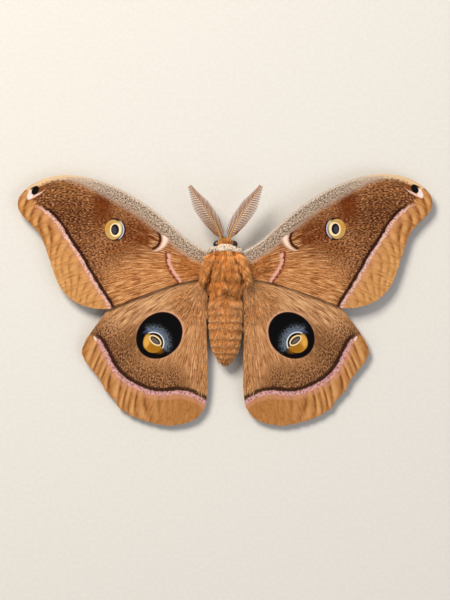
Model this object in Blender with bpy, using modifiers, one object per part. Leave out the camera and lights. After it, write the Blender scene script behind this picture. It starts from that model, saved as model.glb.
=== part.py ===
"""Polyphemus moth, a male, life size: it stands on its six feet with all four wings spread flat.

The head points to +Y, the wings reach to both sides along X, and the feet stand at Z = 0. Sizes below are
in millimetres, and MM turns them into Blender's metres. Each named part of the body is one closed solid.
"""

import math
import random

import bmesh
import bpy
from mathutils import Vector
from mathutils.geometry import delaunay_2d_cdt, interpolate_bezier

MM = 0.001
GAP = 0.3
SIDES = {"left": -1, "right": 1}

# Wings: a sheet with raised veins. Both pairs follow one surface that falls from the shoulders to the tips,
# the forewing above it and the hindwing below it.
MEMBRANE = 0.5
VEIN_THICKNESS = 1.0
VEIN_HALF_WIDTH = 0.45
WING_ROOT = Vector((6.0, 10.0))
WING_REACH = 62.0
WING_ROOT_HEIGHT = 7.3
WING_TIP_HEIGHT = 2.7
WING_PAIR_OFFSET = 0.65
OUTLINE_STEP = 2.6
VEIN_STEP = 6.0
MEMBRANE_STEP = 7.0
MEMBRANE_CLEARANCE = 2.8
MERGE_DISTANCE = 0.05

# The outlines run from the leading edge at the root, round the tip, and back along the inner margin.
FOREWING_OUTLINE = [
    (3.0, 15.0), (7.0, 15.9), (11.7, 18.9), (17.0, 23.6), (22.6, 28.3), (29.7, 33.0), (36.1, 36.1),
    (43.0, 38.3), (50.0, 39.1), (56.3, 38.1), (61.5, 35.6), (64.4, 32.4), (65.0, 29.6), (63.8, 26.7),
    (60.8, 23.7), (58.0, 20.5), (56.4, 16.6), (55.1, 12.7), (53.5, 8.0), (51.7, 4.0), (48.7, 0.6),
    (45.0, -1.6), (40.5, -2.7), (36.3, -2.8), (30.5, -0.3), (23.8, 2.2), (16.0, 4.9), (9.0, 6.4), (3.0, 7.4),
]
HINDWING_OUTLINE = [
    (3.0, 8.4), (9.0, 8.3), (18.0, 6.6), (26.0, 3.8), (32.0, 0.9), (36.6, -3.0), (40.3, -7.7),
    (43.6, -12.3), (45.0, -15.9), (44.3, -18.5), (42.0, -21.7), (39.4, -25.0), (37.7, -28.3), (34.9, -31.4),
    (32.9, -34.2), (28.6, -36.8), (24.0, -38.3), (19.0, -39.4), (13.4, -38.9), (9.0, -37.0), (6.4, -33.6),
    (5.6, -28.0), (5.7, -16.0), (6.1, -6.0), (6.0, 0.5), (3.0, 2.6),
]

# Each vein runs outwards. The cell that they frame ends at the small eye spot of the forewing, and at the
# large one of the hindwing.
FOREWING_VEINS = {
    "costa": [
        (3.0, 14.6), (7.4, 15.4), (12.0, 18.3), (17.3, 23.0),
        (22.9, 27.6), (30.0, 32.2), (36.3, 35.3), (43.0, 37.5),
    ],
    "radius": [(3.0, 13.2), (9.0, 15.4), (17.0, 20.6), (25.0, 25.4), (31.0, 27.4), (37.0, 28.6)],
    "radius_2": [(31.0, 27.4), (40.0, 32.6), (50.0, 36.2), (56.0, 37.0)],
    "radius_4": [(37.0, 28.6), (46.0, 31.8), (56.0, 34.0), (62.0, 33.6)],
    "median_1": [(37.0, 28.6), (46.0, 28.8), (56.0, 28.8), (64.0, 28.2)],
    "cell_end": [(37.0, 28.6), (36.8, 25.0), (36.4, 21.6), (35.0, 18.2)],
    "median_2": [(36.4, 21.6), (45.0, 22.6), (54.0, 23.2), (60.4, 23.3)],
    "median_3": [(35.0, 18.2), (42.0, 18.2), (50.0, 17.9), (56.8, 17.2)],
    "cubitus": [(3.0, 10.6), (10.0, 11.6), (18.0, 13.2), (26.0, 15.3), (35.0, 18.2)],
    "cubitus_1": [(29.0, 16.1), (37.0, 14.2), (46.0, 11.8), (54.6, 10.9)],
    "cubitus_2": [(21.0, 13.9), (30.0, 10.2), (41.0, 6.2), (51.6, 3.8)],
    "anal": [(3.0, 8.6), (12.0, 8.0), (24.0, 5.2), (35.0, 1.2), (45.6, -1.4)],
}
HINDWING_VEINS = {
    "subcosta": [(3.0, 7.0), (12.0, 6.6), (22.0, 3.4), (32.0, -2.4), (40.6, -8.2)],
    "radius": [(7.0, 4.6), (14.0, 1.6), (20.0, -2.4), (27.0, -6.8), (36.0, -11.4), (44.8, -16.8)],
    "cell_end": [(27.0, -6.8), (24.6, -11.0), (21.0, -14.6), (16.6, -16.8)],
    "median_1": [(26.0, -8.8), (33.0, -15.0), (42.0, -21.7)],
    "median_2": [(23.0, -12.8), (29.0, -19.8), (37.6, -28.4)],
    "median_3": [(19.4, -15.6), (25.0, -25.0), (32.6, -34.4)],
    "cubitus": [(6.4, 3.0), (9.4, -4.0), (13.0, -11.0), (16.6, -16.8)],
    "cubitus_1": [(16.6, -16.8), (20.0, -27.0), (24.0, -38.2)],
    "cubitus_2": [(12.4, -10.0), (13.8, -24.0), (15.4, -39.1)],
    "anal": [(6.6, 1.0), (8.4, -12.0), (9.0, -26.0), (9.4, -37.0)],
}
FOREWING_TURN_DEG = {"left": 0.0, "right": 0.5}

# Trunk sections from front to back: place along Y, height of the middle, half width, half height.
THORAX = [
    (15.7, 7.4, 3.0, 2.8), (15.1, 7.4, 4.0, 3.6), (13.6, 7.5, 5.0, 4.4), (11.5, 7.6, 5.6, 4.9),
    (8.5, 7.6, 5.9, 5.1), (5.5, 7.3, 5.6, 4.8), (3.0, 7.0, 5.2, 4.4), (1.6, 6.8, 4.9, 4.1),
]
ABDOMEN_FRONT = 1.3
ABDOMEN_RING_ENDS = [-1.8, -5.0, -8.2, -11.5, -14.8, -17.7, -20.2]
ABDOMEN_HALF_WIDTHS = [4.3, 5.15, 5.35, 5.2, 4.8, 4.0, 2.9, 1.1]
ABDOMEN_ROUNDNESS = 0.84
ABDOMEN_FRONT_HEIGHT = 6.2
ABDOMEN_TAIL_HEIGHT = 4.4
RING_STEP = 0.35
RING_SETBACK = 0.25

HEAD_CENTRE = Vector((0.0, 17.4, 6.4))
HEAD_RADII = Vector((2.8, 2.0, 2.7))
HEAD_BACK = THORAX[0][0] + GAP
EYE_CENTRE = Vector((2.9, 17.7, 6.1))
EYE_RADIUS = 1.5
COLLAR_CENTRE = Vector((0.0, 15.6, 8.3))
COLLAR_RADII = Vector((4.9, 1.9, 3.5))
TEGULA_CENTRE = Vector((5.4, 9.6, 9.9))
TEGULA_RADII = Vector((1.9, 4.6, 1.9))
TEGULA_BASE = 8.8
PALP_CENTRE = Vector((0.9, 18.9, 4.3))
PALP_RADII = Vector((0.55, 1.2, 0.6))

# The antennae are combs with a row of rami on either side of the shaft.
ANTENNA_SHAFT = [
    (1.25, 18.2, 7.9), (1.7, 20.4, 9.2), (3.1, 23.4, 10.2),
    (5.6, 27.3, 11.1), (8.6, 31.6, 11.9), (11.3, 35.9, 12.4),
]
ANTENNA_RADII = (0.45, 0.25)
RAMI_PER_SIDE = 14
RAMI_SPAN = (0.13, 0.97)
RAMUS_LENGTH = 4.6
RAMUS_TIP_SHARE = 0.3
RAMUS_RADIUS = 0.26
RAMUS_ANGLES_DEG = {"outer": 56.0, "inner": -42.0}
RAMUS_LENGTHS = {"outer": 1.0, "inner": 0.86}
RAMUS_DROOP = 0.9
RAMUS_LENGTH_AT_ENDS = 0.36
RAMUS_SINK = 0.05
ANTENNA_STEP = 1.7

# Legs: hip, end of the hip piece, knee, ankle and toe. The toes lie along the floor on narrow flats.
LEGS = {
    "foreleg": [(2.4, 13.0, 4.8), (3.8, 14.0, 2.9), (7.2, 14.5, 3.9), (9.0, 13.6, 0.95), (11.8, 12.2, 0.27)],
    "midleg": [(2.6, 8.4, 4.6), (4.6, 8.5, 2.7), (9.2, 8.4, 4.0), (11.4, 7.6, 0.95), (14.4, 6.8, 0.27)],
    "hindleg": [(2.6, 4.6, 4.6), (4.4, 3.6, 2.8), (8.6, 1.2, 3.9), (10.2, -2.0, 0.95), (11.2, -5.2, 0.27)],
}
LEG_RADII = [0.9, 0.95, 0.75, 0.5, 0.34]
LEG_STEP = 1.6

# The long coat: for each row its place along Y, how many locks it has, and the angles that it spans on the
# trunk, from one flank over the back to the other. The rows between the shoulder flaps are short.
THORAX_LOCK_ROWS = [
    (13.4, 4, 62, 118), (11.5, 3, 66, 114), (9.6, 4, 62, 118), (7.7, 3, 66, 114), (5.8, 6, 48, 132),
    (4.3, 8, 24, 156), (2.9, 7, 30, 150),
]
THORAX_LOCK_SPLAY = 0.3
THORAX_LOCK = {"length": 3.4, "width": 1.7, "thickness": 0.8, "lift": 0.36, "sink": 1.0}
ABDOMEN_LOCKS_PER_RING = 6
ABDOMEN_LOCK_ARC_DEG = (14, 166)
ABDOMEN_LOCK_SETBACK = 0.9
ABDOMEN_LOCK = {"length": 1.9, "width": 2.2, "thickness": 0.6, "lift": 0.16, "sink": 0.7}
TEGULA_LOCK_TILTS_DEG = (-38, 54)
TEGULA_LOCK_SPLAY = 0.22
TEGULA_LOCK_ROWS = [(2.2, 3), (0.2, 3), (-1.6, 3), (-3.0, 2)]
TEGULA_LOCK = {"length": 2.7, "width": 1.3, "thickness": 0.7, "lift": 0.3, "sink": 0.8}
COLLAR_BASE = 8.9
COLLAR_LOCKS = 7
COLLAR_LOCK_SPREAD_DEG = 50
COLLAR_LOCK_LEAN = 0.25
COLLAR_LOCK = {"length": 1.9, "width": 1.5, "thickness": 0.6, "lift": 0.12, "sink": 0.7}
FACE_LOCK_ROWS = [(58, 2, 12), (28, 3, 60), (2, 3, 60)]
FACE_LOCK = {"length": 1.3, "width": 1.1, "thickness": 0.6, "lift": 0.5, "sink": 0.6}
LOCK_JITTER = 0.3
LOCK_JITTER_DEG = 3
LOCK_TIP_SHARE = 0.06
LOCK_SWELL = 0.45
LOCK_BEND = 0.28
SEED = 7


def smooth_line(points, step):
    """Points about a step apart on a smooth curve that passes through the given ones."""
    points = [Vector(p).to_3d() for p in points]
    line = []
    for i in range(len(points) - 1):
        here, there = points[i], points[i + 1]
        before, after = points[max(i - 1, 0)], points[min(i + 2, len(points) - 1)]
        leaving, arriving = (there - before) / 6, (after - here) / 6
        parts = max(1, round((there - here).length / step))
        line += interpolate_bezier(here, here + leaving, there - arriving, there, parts + 1)[:-1]
    return line + [points[-1]]


def smooth_step(share):
    """0 at 0, 1 at 1, level at both ends."""
    share = min(max(share, 0.0), 1.0)
    return share * share * (3 - 2 * share)


def collection_named(name):
    """The scene's collection of that name, made if it isn't there."""
    found = bpy.data.collections.get(name)
    if found is None:
        found = bpy.data.collections.new(name)
        bpy.context.scene.collection.children.link(found)
    return found


def object_from(bm, name, collection="moth"):
    """An object in the collection whose mesh is bm, in millimetres, and frees bm."""
    for vertex in bm.verts:
        vertex.co *= MM
    mesh = bpy.data.meshes.new(name)
    bm.to_mesh(mesh)
    bm.free()
    obj = bpy.data.objects.new(name, mesh)
    collection_named(collection).objects.link(obj)
    return obj


def paint(obj, name, colour, roughness):
    """Gives the object a material of its own, plain and not metallic."""
    material = bpy.data.materials.new(name)
    material.use_nodes = True
    shader = material.node_tree.nodes["Principled BSDF"]
    shader.inputs["Base Color"].default_value = (*colour, 1.0)
    shader.inputs["Roughness"].default_value = roughness
    shader.inputs["Metallic"].default_value = 0.0
    obj.data.materials.clear()
    obj.data.materials.append(material)
    obj.data.shade_smooth()


def apply_modifiers(obj):
    """The object keeps the mesh that its modifiers make, and loses them."""
    bpy.context.view_layer.update()
    graph = bpy.context.evaluated_depsgraph_get()
    made = bpy.data.meshes.new_from_object(obj.evaluated_get(graph))
    obj.modifiers.clear()
    old = obj.data
    obj.data = made
    made.name = old.name
    bpy.data.meshes.remove(old)


def keep_largest_shell(obj):
    """Drops every closed surface of the mesh but the one with the largest volume."""
    bm = bmesh.new()
    bm.from_mesh(obj.data)
    bmesh.ops.triangulate(bm, faces=bm.faces)
    shells = []
    unseen = set(bm.faces)
    while unseen:
        shell = [unseen.pop()]
        for face in shell:
            for edge in face.edges:
                for other in edge.link_faces:
                    if other in unseen:
                        unseen.remove(other)
                        shell.append(other)
        shells.append(shell)
    shells.sort(key=lambda faces: -sum(volume_under(face) for face in faces))
    spare = [face for shell in shells[1:] for face in shell]
    bmesh.ops.delete(bm, geom=spare, context="FACES")
    bm.to_mesh(obj.data)
    bm.free()


def volume_under(face):
    """The signed volume between a triangle and the origin."""
    a, b, c = (vertex.co for vertex in face.verts)
    return a.dot(b.cross(c)) / 6


def boolean(obj, operation, pieces):
    """Joins the pieces to the object, or cuts them from it. Joined pieces are removed and cutters stay."""
    group = bpy.data.collections.new("operands")
    bpy.context.scene.collection.children.link(group)
    for piece in pieces:
        group.objects.link(piece)
    modifier = obj.modifiers.new("joined", "BOOLEAN")
    modifier.operation = operation
    modifier.operand_type = "COLLECTION"
    modifier.collection = group
    modifier.solver = "EXACT"
    apply_modifiers(obj)
    keep_largest_shell(obj)
    bpy.data.collections.remove(group)
    if operation == "UNION":
        for piece in pieces:
            bpy.data.objects.remove(piece)


def as_cutter(obj):
    """Hides a cutter from the render, so that it isn't part of the moth."""
    obj.hide_render = True
    obj.display_type = "WIRE"
    return obj


def ellipsoid(name, centre, radii, grow=0.0, rings=10, collection="moth"):
    """A sphere stretched to three radii."""
    bm = bmesh.new()
    bmesh.ops.create_uvsphere(bm, u_segments=2 * rings, v_segments=rings, radius=1.0)
    for vertex in bm.verts:
        vertex.co = Vector(
            vertex.co[axis] * (radii[axis] + grow) + centre[axis] for axis in range(3)
        )
    return object_from(bm, name, collection)


class Trunk:
    """A rounded body along Y that is given by its sections."""

    def __init__(self, stations):
        self.stations = stations

    def section(self, y):
        """Height of the middle, half width and half height at a place along Y."""
        stations = self.stations
        if y >= stations[0][0]:
            return stations[0][1:]
        for front, back in zip(stations, stations[1:]):
            if y >= back[0]:
                share = (front[0] - y) / (front[0] - back[0])
                return tuple(f + (b - f) * share for f, b in zip(front[1:], back[1:]))
        return stations[-1][1:]

    def point(self, y, angle, out=0.0):
        """A point on the skin or that far out of it. The angle turns from +X up to +Z."""
        z, half_width, half_height = self.section(y)
        return Vector((
            math.cos(angle) * (half_width + out),
            y,
            z + math.sin(angle) * (half_height + out),
        ))

    def normal(self, y, angle, step=0.4, turn=0.05):
        """The way out of the skin there, from the slopes along and across."""
        along = self.point(y + step, angle) - self.point(y - step, angle)
        across = self.point(y, angle + turn) - self.point(y, angle - turn)
        return along.cross(across).normalized()

    def solid(self, name, sides=18, grow=0.0, collection="moth"):
        """The closed body, with both ends flat."""
        bm = bmesh.new()
        stations = [list(station) for station in self.stations]
        stations[0][0] += grow
        stations[-1][0] -= grow
        rings = []
        for y, z, half_width, half_height in stations:
            turns = (2 * math.pi * i / sides for i in range(sides))
            rings.append([
                bm.verts.new((
                    math.cos(a) * (half_width + grow),
                    y,
                    z + math.sin(a) * (half_height + grow),
                ))
                for a in turns
            ])
        loops = []
        for ring in rings:
            loops.append([bm.edges.new((ring[i], ring[(i + 1) % sides])) for i in range(sides)])
        for first, second in zip(loops, loops[1:]):
            bmesh.ops.bridge_loops(bm, edges=first + second)
        bm.faces.new(rings[0])
        bm.faces.new(rings[-1])
        bmesh.ops.recalc_face_normals(bm, faces=bm.faces)
        return object_from(bm, name, collection)


def spike(root, along, out, length, half_width, half_thickness, tip, swell, bend, sink, cuts):
    """A four-sided spike for a lock or a ramus. It starts below the skin and bends towards the skin.

    It points along, is widest square to along and out, and its tip keeps the given share of its size.
    """
    bm = bmesh.new()
    bmesh.ops.create_cone(bm, cap_ends=True, segments=4, radius1=1.0, radius2=tip, depth=1.0)
    long_edges = [e for e in bm.edges if abs(e.verts[0].co.z - e.verts[1].co.z) > 0.5]
    bmesh.ops.subdivide_edges(bm, edges=long_edges, cuts=cuts)
    along = along.normalized()
    across = along.cross(out).normalized()
    up = across.cross(along)
    for vertex in bm.verts:
        share = vertex.co.z + 0.5
        size = 1.0 + swell * math.sin(math.pi * share)
        middle = root - along * sink + along * (length + sink) * share - up * bend * share * share
        vertex.co = middle + size * (
            across * vertex.co.x * half_width + up * vertex.co.y * half_thickness
        )
    bmesh.ops.recalc_face_normals(bm, faces=bm.faces)
    return object_from(bm, "spike", "pieces")


def lock(root, lie, out, sizes, draw):
    """One flat lock of hair that lies along the skin and stands a little out of it."""
    length = sizes["length"] * draw.uniform(0.85, 1.15)
    lie = (lie - out * lie.dot(out)).normalized()
    return spike(
        root, lie + out * sizes["lift"], out, length, sizes["width"] / 2, sizes["thickness"] / 2,
        LOCK_TIP_SHARE, LOCK_SWELL, LOCK_BEND * length, sizes["sink"], 2,
    )


def tube(name, points, radii, resolution=1, collection="moth"):
    """A closed mesh round a line of points, with a radius at each."""
    curve = bpy.data.curves.new(name, "CURVE")
    curve.dimensions = "3D"
    curve.bevel_depth = MM
    curve.bevel_resolution = resolution
    curve.use_fill_caps = True
    spline = curve.splines.new("POLY")
    spline.points.add(len(points) - 1)
    for target, point, radius in zip(spline.points, points, radii):
        target.co = (*(point * MM), 1.0)
        target.radius = radius
    guide = bpy.data.objects.new(name + "_guide", curve)
    collection_named(collection).objects.link(guide)
    bpy.context.view_layer.update()
    graph = bpy.context.evaluated_depsgraph_get()
    mesh = bpy.data.meshes.new_from_object(guide.evaluated_get(graph))
    bpy.data.objects.remove(guide)
    bm = bmesh.new()
    bm.from_mesh(mesh)
    bmesh.ops.remove_doubles(bm, verts=bm.verts, dist=1e-6)
    bmesh.ops.recalc_face_normals(bm, faces=bm.faces)
    bm.to_mesh(mesh)
    bm.free()
    obj = bpy.data.objects.new(name, mesh)
    collection_named(collection).objects.link(obj)
    return obj


def wing_height(x, y, offset):
    """Height of the wings' common surface, level at the shoulder and near the tips."""
    reach = (Vector((abs(x), y)) - WING_ROOT).length / WING_REACH
    return WING_TIP_HEIGHT + (WING_ROOT_HEIGHT - WING_TIP_HEIGHT) * (1 - smooth_step(reach)) + offset


def beside(line, distance):
    """The line moved sideways in its plane."""
    moved = []
    for i, point in enumerate(line):
        before, after = line[max(i - 1, 0)], line[min(i + 1, len(line) - 1)]
        ahead = (after - before).normalized()
        moved.append(point + Vector((-ahead.y, ahead.x, 0.0)) * distance)
    return moved


def distance_to_line(point, line):
    """How far a flat point is from the nearest stretch of the line."""
    nearest = math.inf
    for start, end in zip(line, line[1:]):
        along = end - start
        share = min(max((point - start).dot(along) / along.length_squared, 0.0), 1.0)
        nearest = min(nearest, (start + along * share - point).length)
    return nearest


def wing_triangles(outline, veins):
    """Flat points and triangles inside the outline, with edges along every vein and both its flanks."""
    points = [p.to_2d() for p in outline]
    face = list(range(len(points)))
    edges = []
    for vein in veins:
        for offset in (0.0, VEIN_HALF_WIDTH, -VEIN_HALF_WIDTH):
            line = beside(vein, offset)
            first = len(points)
            points += [p.to_2d() for p in line]
            edges += [(first + i, first + i + 1) for i in range(len(line) - 1)]
    low = Vector((min(p.x for p in outline), min(p.y for p in outline), 0.0))
    high = Vector((max(p.x for p in outline), max(p.y for p in outline), 0.0))
    for column in range(int((high.x - low.x) / MEMBRANE_STEP) + 1):
        for row in range(int((high.y - low.y) / MEMBRANE_STEP) + 1):
            spot = low + Vector((column, row, 0.0)) * MEMBRANE_STEP
            if all(distance_to_line(spot, line) > MEMBRANE_CLEARANCE for line in (*veins, outline)):
                points.append(spot.to_2d())
    keep_inside_the_face = 1
    made = delaunay_2d_cdt(points, edges, [face], keep_inside_the_face, MERGE_DISTANCE)
    return made[0], made[2]


def wing(name, side, outline_points, vein_points, offset, turn_deg, body_cutter):
    """One wing: a sheet with veins raised on both faces, cut clear of the body at its root."""
    outline = smooth_line(outline_points, OUTLINE_STEP)
    veins = [smooth_line(points, VEIN_STEP) for points in vein_points.values()]
    points, triangles = wing_triangles(outline, veins)
    turn = math.radians(turn_deg)
    bm = bmesh.new()
    ridge = bm.verts.layers.deform.verify()
    for flat in points:
        spot = flat.to_3d()
        nearness = 1 - min(distance_to_line(spot, vein) for vein in veins) / VEIN_HALF_WIDTH
        from_root = flat - WING_ROOT
        turned = WING_ROOT + Vector((
            from_root.x * math.cos(turn) - from_root.y * math.sin(turn),
            from_root.x * math.sin(turn) + from_root.y * math.cos(turn),
        ))
        vertex = bm.verts.new((side * turned.x, turned.y, wing_height(turned.x, turned.y, offset)))
        vertex[ridge][0] = min(max(nearness, 0.0), 1.0)
    bm.verts.ensure_lookup_table()
    for triangle in triangles:
        bm.faces.new([bm.verts[i] for i in triangle])
    bmesh.ops.delete(bm, geom=[v for v in bm.verts if not v.link_faces], context="VERTS")
    for face in bm.faces:
        face.normal_update()
        if face.normal.z < 0:
            face.normal_flip()
    obj = object_from(bm, name)
    obj.vertex_groups.new(name="veins")
    sheet = obj.modifiers.new("thickness", "SOLIDIFY")
    sheet.thickness = VEIN_THICKNESS * MM
    sheet.offset = 0.0
    sheet.vertex_group = "veins"
    sheet.thickness_vertex_group = MEMBRANE / VEIN_THICKNESS
    apply_modifiers(obj)
    boolean(obj, "DIFFERENCE", [body_cutter])
    return obj


def abdomen_stations():
    """Sections of the abdomen, with a step down at the end of each ring."""
    ends = [ABDOMEN_FRONT, *ABDOMEN_RING_ENDS]
    length = ends[0] - ends[-1]
    stations = []
    for ring, (front, back) in enumerate(zip(ends, ends[1:])):
        last = ring == len(ABDOMEN_RING_ENDS) - 1
        for place, flare in ((front, -RING_STEP), ((front + back) / 2, 0.0), (back, RING_STEP / 2)):
            if last and place == back:
                flare = 0.0
            share = (place - front) / (back - front)
            front_width, back_width = ABDOMEN_HALF_WIDTHS[ring:ring + 2]
            width = front_width + (back_width - front_width) * share + flare
            fall = (ends[0] - place) / length
            z = ABDOMEN_FRONT_HEIGHT + (ABDOMEN_TAIL_HEIGHT - ABDOMEN_FRONT_HEIGHT) * fall
            set_back = RING_SETBACK if place == front and ring else 0.0
            stations.append((place - set_back, z, width, width * ABDOMEN_ROUNDNESS))
    return stations


def thorax_locks(trunk, draw):
    """Rows of locks that lie back over the thorax and over each other, parted along the middle."""
    locks = []
    for y, count, low, high in THORAX_LOCK_ROWS:
        for i in range(count):
            stray = draw.uniform(-LOCK_JITTER_DEG, LOCK_JITTER_DEG)
            angle = math.radians(low + (high - low) * i / (count - 1) + stray)
            place = y + draw.uniform(-LOCK_JITTER, LOCK_JITTER)
            lie = Vector((THORAX_LOCK_SPLAY * math.cos(angle), -1.0, 0.0))
            locks.append(lock(
                trunk.point(place, angle), lie, trunk.normal(place, angle), THORAX_LOCK, draw,
            ))
    return locks


def abdomen_locks(trunk, draw):
    """A row of short locks near the end of each ring that shows, over the back and both flanks."""
    locks = []
    low, high = ABDOMEN_LOCK_ARC_DEG
    for ring, y in enumerate(ABDOMEN_RING_ENDS[1:-1]):
        place = y + ABDOMEN_LOCK_SETBACK
        for i in range(ABDOMEN_LOCKS_PER_RING):
            share = (i + 0.5 * (ring % 2)) / (ABDOMEN_LOCKS_PER_RING - 0.5)
            angle = math.radians(low + (high - low) * share)
            out = trunk.point(place, angle) - trunk.point(place, angle, -1.0)
            locks.append(lock(trunk.point(place, angle), Vector((0.0, -1.0, 0.0)), out, ABDOMEN_LOCK, draw))
    return locks


def ellipsoid_spot(centre, radii, flat):
    """The point on an ellipsoid in a direction, and the way out there."""
    unit = flat.normalized()
    point = Vector(centre[axis] + radii[axis] * unit[axis] for axis in range(3))
    out = Vector(unit[axis] / radii[axis] for axis in range(3)).normalized()
    return point, out


def tegula_locks(side, centre, draw):
    """Locks that lie back and outwards over a shoulder flap."""
    locks = []
    inner, outer = TEGULA_LOCK_TILTS_DEG
    for along, count in TEGULA_LOCK_ROWS:
        for i in range(count):
            tilt = math.radians(inner + (outer - inner) * i / (count - 1))
            y = along / TEGULA_RADII.y
            ring = math.sqrt(1 - y * y)
            way = Vector((side * math.sin(tilt) * ring, y, math.cos(tilt) * ring))
            point, out = ellipsoid_spot(centre, TEGULA_RADII, way)
            lie = Vector((side * TEGULA_LOCK_SPLAY, -1.0, 0.0))
            locks.append(lock(point, lie, out, TEGULA_LOCK, draw))
    return locks


def collar_locks(draw):
    """A row of short locks that lie back from the top of the collar over the front of the thorax."""
    locks = []
    for i in range(COLLAR_LOCKS):
        turn = math.radians(COLLAR_LOCK_SPREAD_DEG * (2 * i / (COLLAR_LOCKS - 1) - 1))
        way = Vector((math.sin(turn), COLLAR_LOCK_LEAN, math.cos(turn)))
        lie = Vector((COLLAR_LOCK_LEAN * math.sin(turn), -1.0, 0.0))
        point, out = ellipsoid_spot(COLLAR_CENTRE, COLLAR_RADII, way)
        locks.append(lock(point, lie, out, COLLAR_LOCK, draw))
    return locks


def face_locks(draw):
    """Short locks between the antennae and down the face."""
    locks = []
    for elevation, count, spread in FACE_LOCK_ROWS:
        for i in range(count):
            turn = math.radians(-spread / 2 + spread * i / (count - 1))
            rise = math.radians(elevation)
            way = Vector((math.sin(turn) * math.cos(rise), math.cos(turn) * math.cos(rise), math.sin(rise)))
            point, out = ellipsoid_spot(HEAD_CENTRE, HEAD_RADII, way)
            locks.append(lock(point, Vector((0.0, 0.5, -1.0)), out, FACE_LOCK, draw))
    return locks


def mirrored(point, side):
    """The point on the wanted side of the body."""
    return Vector((side * point[0], point[1], point[2]))


def box_cutter(name, low, high):
    """A box between two corners that cuts and isn't part of the moth."""
    bm = bmesh.new()
    bmesh.ops.create_cube(bm, size=1.0)
    for vertex in bm.verts:
        vertex.co = Vector(
            low[axis] + (vertex.co[axis] + 0.5) * (high[axis] - low[axis]) for axis in range(3)
        )
    return as_cutter(object_from(bm, name, "cutters"))


def antenna(name, side, head_cutter):
    """One feathery antenna: a tapering shaft with rami that lean forwards on both sides."""
    line = smooth_line([mirrored(p, side) for p in ANTENNA_SHAFT], ANTENNA_STEP)
    root_radius, tip_radius = ANTENNA_RADII
    radii = [root_radius + (tip_radius - root_radius) * i / (len(line) - 1) for i in range(len(line))]
    shaft = tube(name, line, radii)
    boolean(shaft, "DIFFERENCE", [head_cutter])
    rami = []
    first, last = RAMI_SPAN
    for i in range(RAMI_PER_SIDE):
        share = first + (last - first) * i / (RAMI_PER_SIDE - 1)
        place = share * (len(line) - 1)
        start = min(int(place), len(line) - 2)
        ahead = (line[start + 1] - line[start]).normalized()
        root = line[start].lerp(line[start + 1], place - start)
        plume_up = (Vector((0.0, 0.0, 1.0)) - ahead * ahead.z).normalized()
        outwards = side * ahead.cross(plume_up)
        fullness = math.sin(math.pi * (0.06 + 0.8 * i / (RAMI_PER_SIDE - 1)))
        reach = RAMUS_LENGTH * (RAMUS_LENGTH_AT_ENDS + (1 - RAMUS_LENGTH_AT_ENDS) * fullness)
        for row, degrees in RAMUS_ANGLES_DEG.items():
            turn = math.radians(degrees)
            along = ahead * math.cos(turn) + outwards * math.sin(turn)
            rami.append(spike(
                root, along, plume_up, reach * RAMUS_LENGTHS[row], RAMUS_RADIUS, RAMUS_RADIUS,
                RAMUS_TIP_SHARE, 0.0, RAMUS_DROOP * reach / RAMUS_LENGTH, RAMUS_SINK, 1,
            ))
    boolean(shaft, "UNION", rami)
    return shaft


def leg(name, side, points, cutters):
    """One leg, from its hip on the thorax to a toe that lies flat on the floor."""
    line = smooth_line([mirrored(p, side) for p in points], LEG_STEP)
    joints = [mirrored(p, side) for p in points]
    radii = []
    for spot in line:
        nearest = min(range(len(joints) - 1), key=lambda i: distance_to_line(spot, joints[i:i + 2]))
        along = joints[nearest + 1] - joints[nearest]
        share = min(max((spot - joints[nearest]).dot(along) / along.length_squared, 0.0), 1.0)
        radii.append(LEG_RADII[nearest] + (LEG_RADII[nearest + 1] - LEG_RADII[nearest]) * share)
    made = tube(name, line, radii)
    boolean(made, "DIFFERENCE", cutters)
    return made


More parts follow.
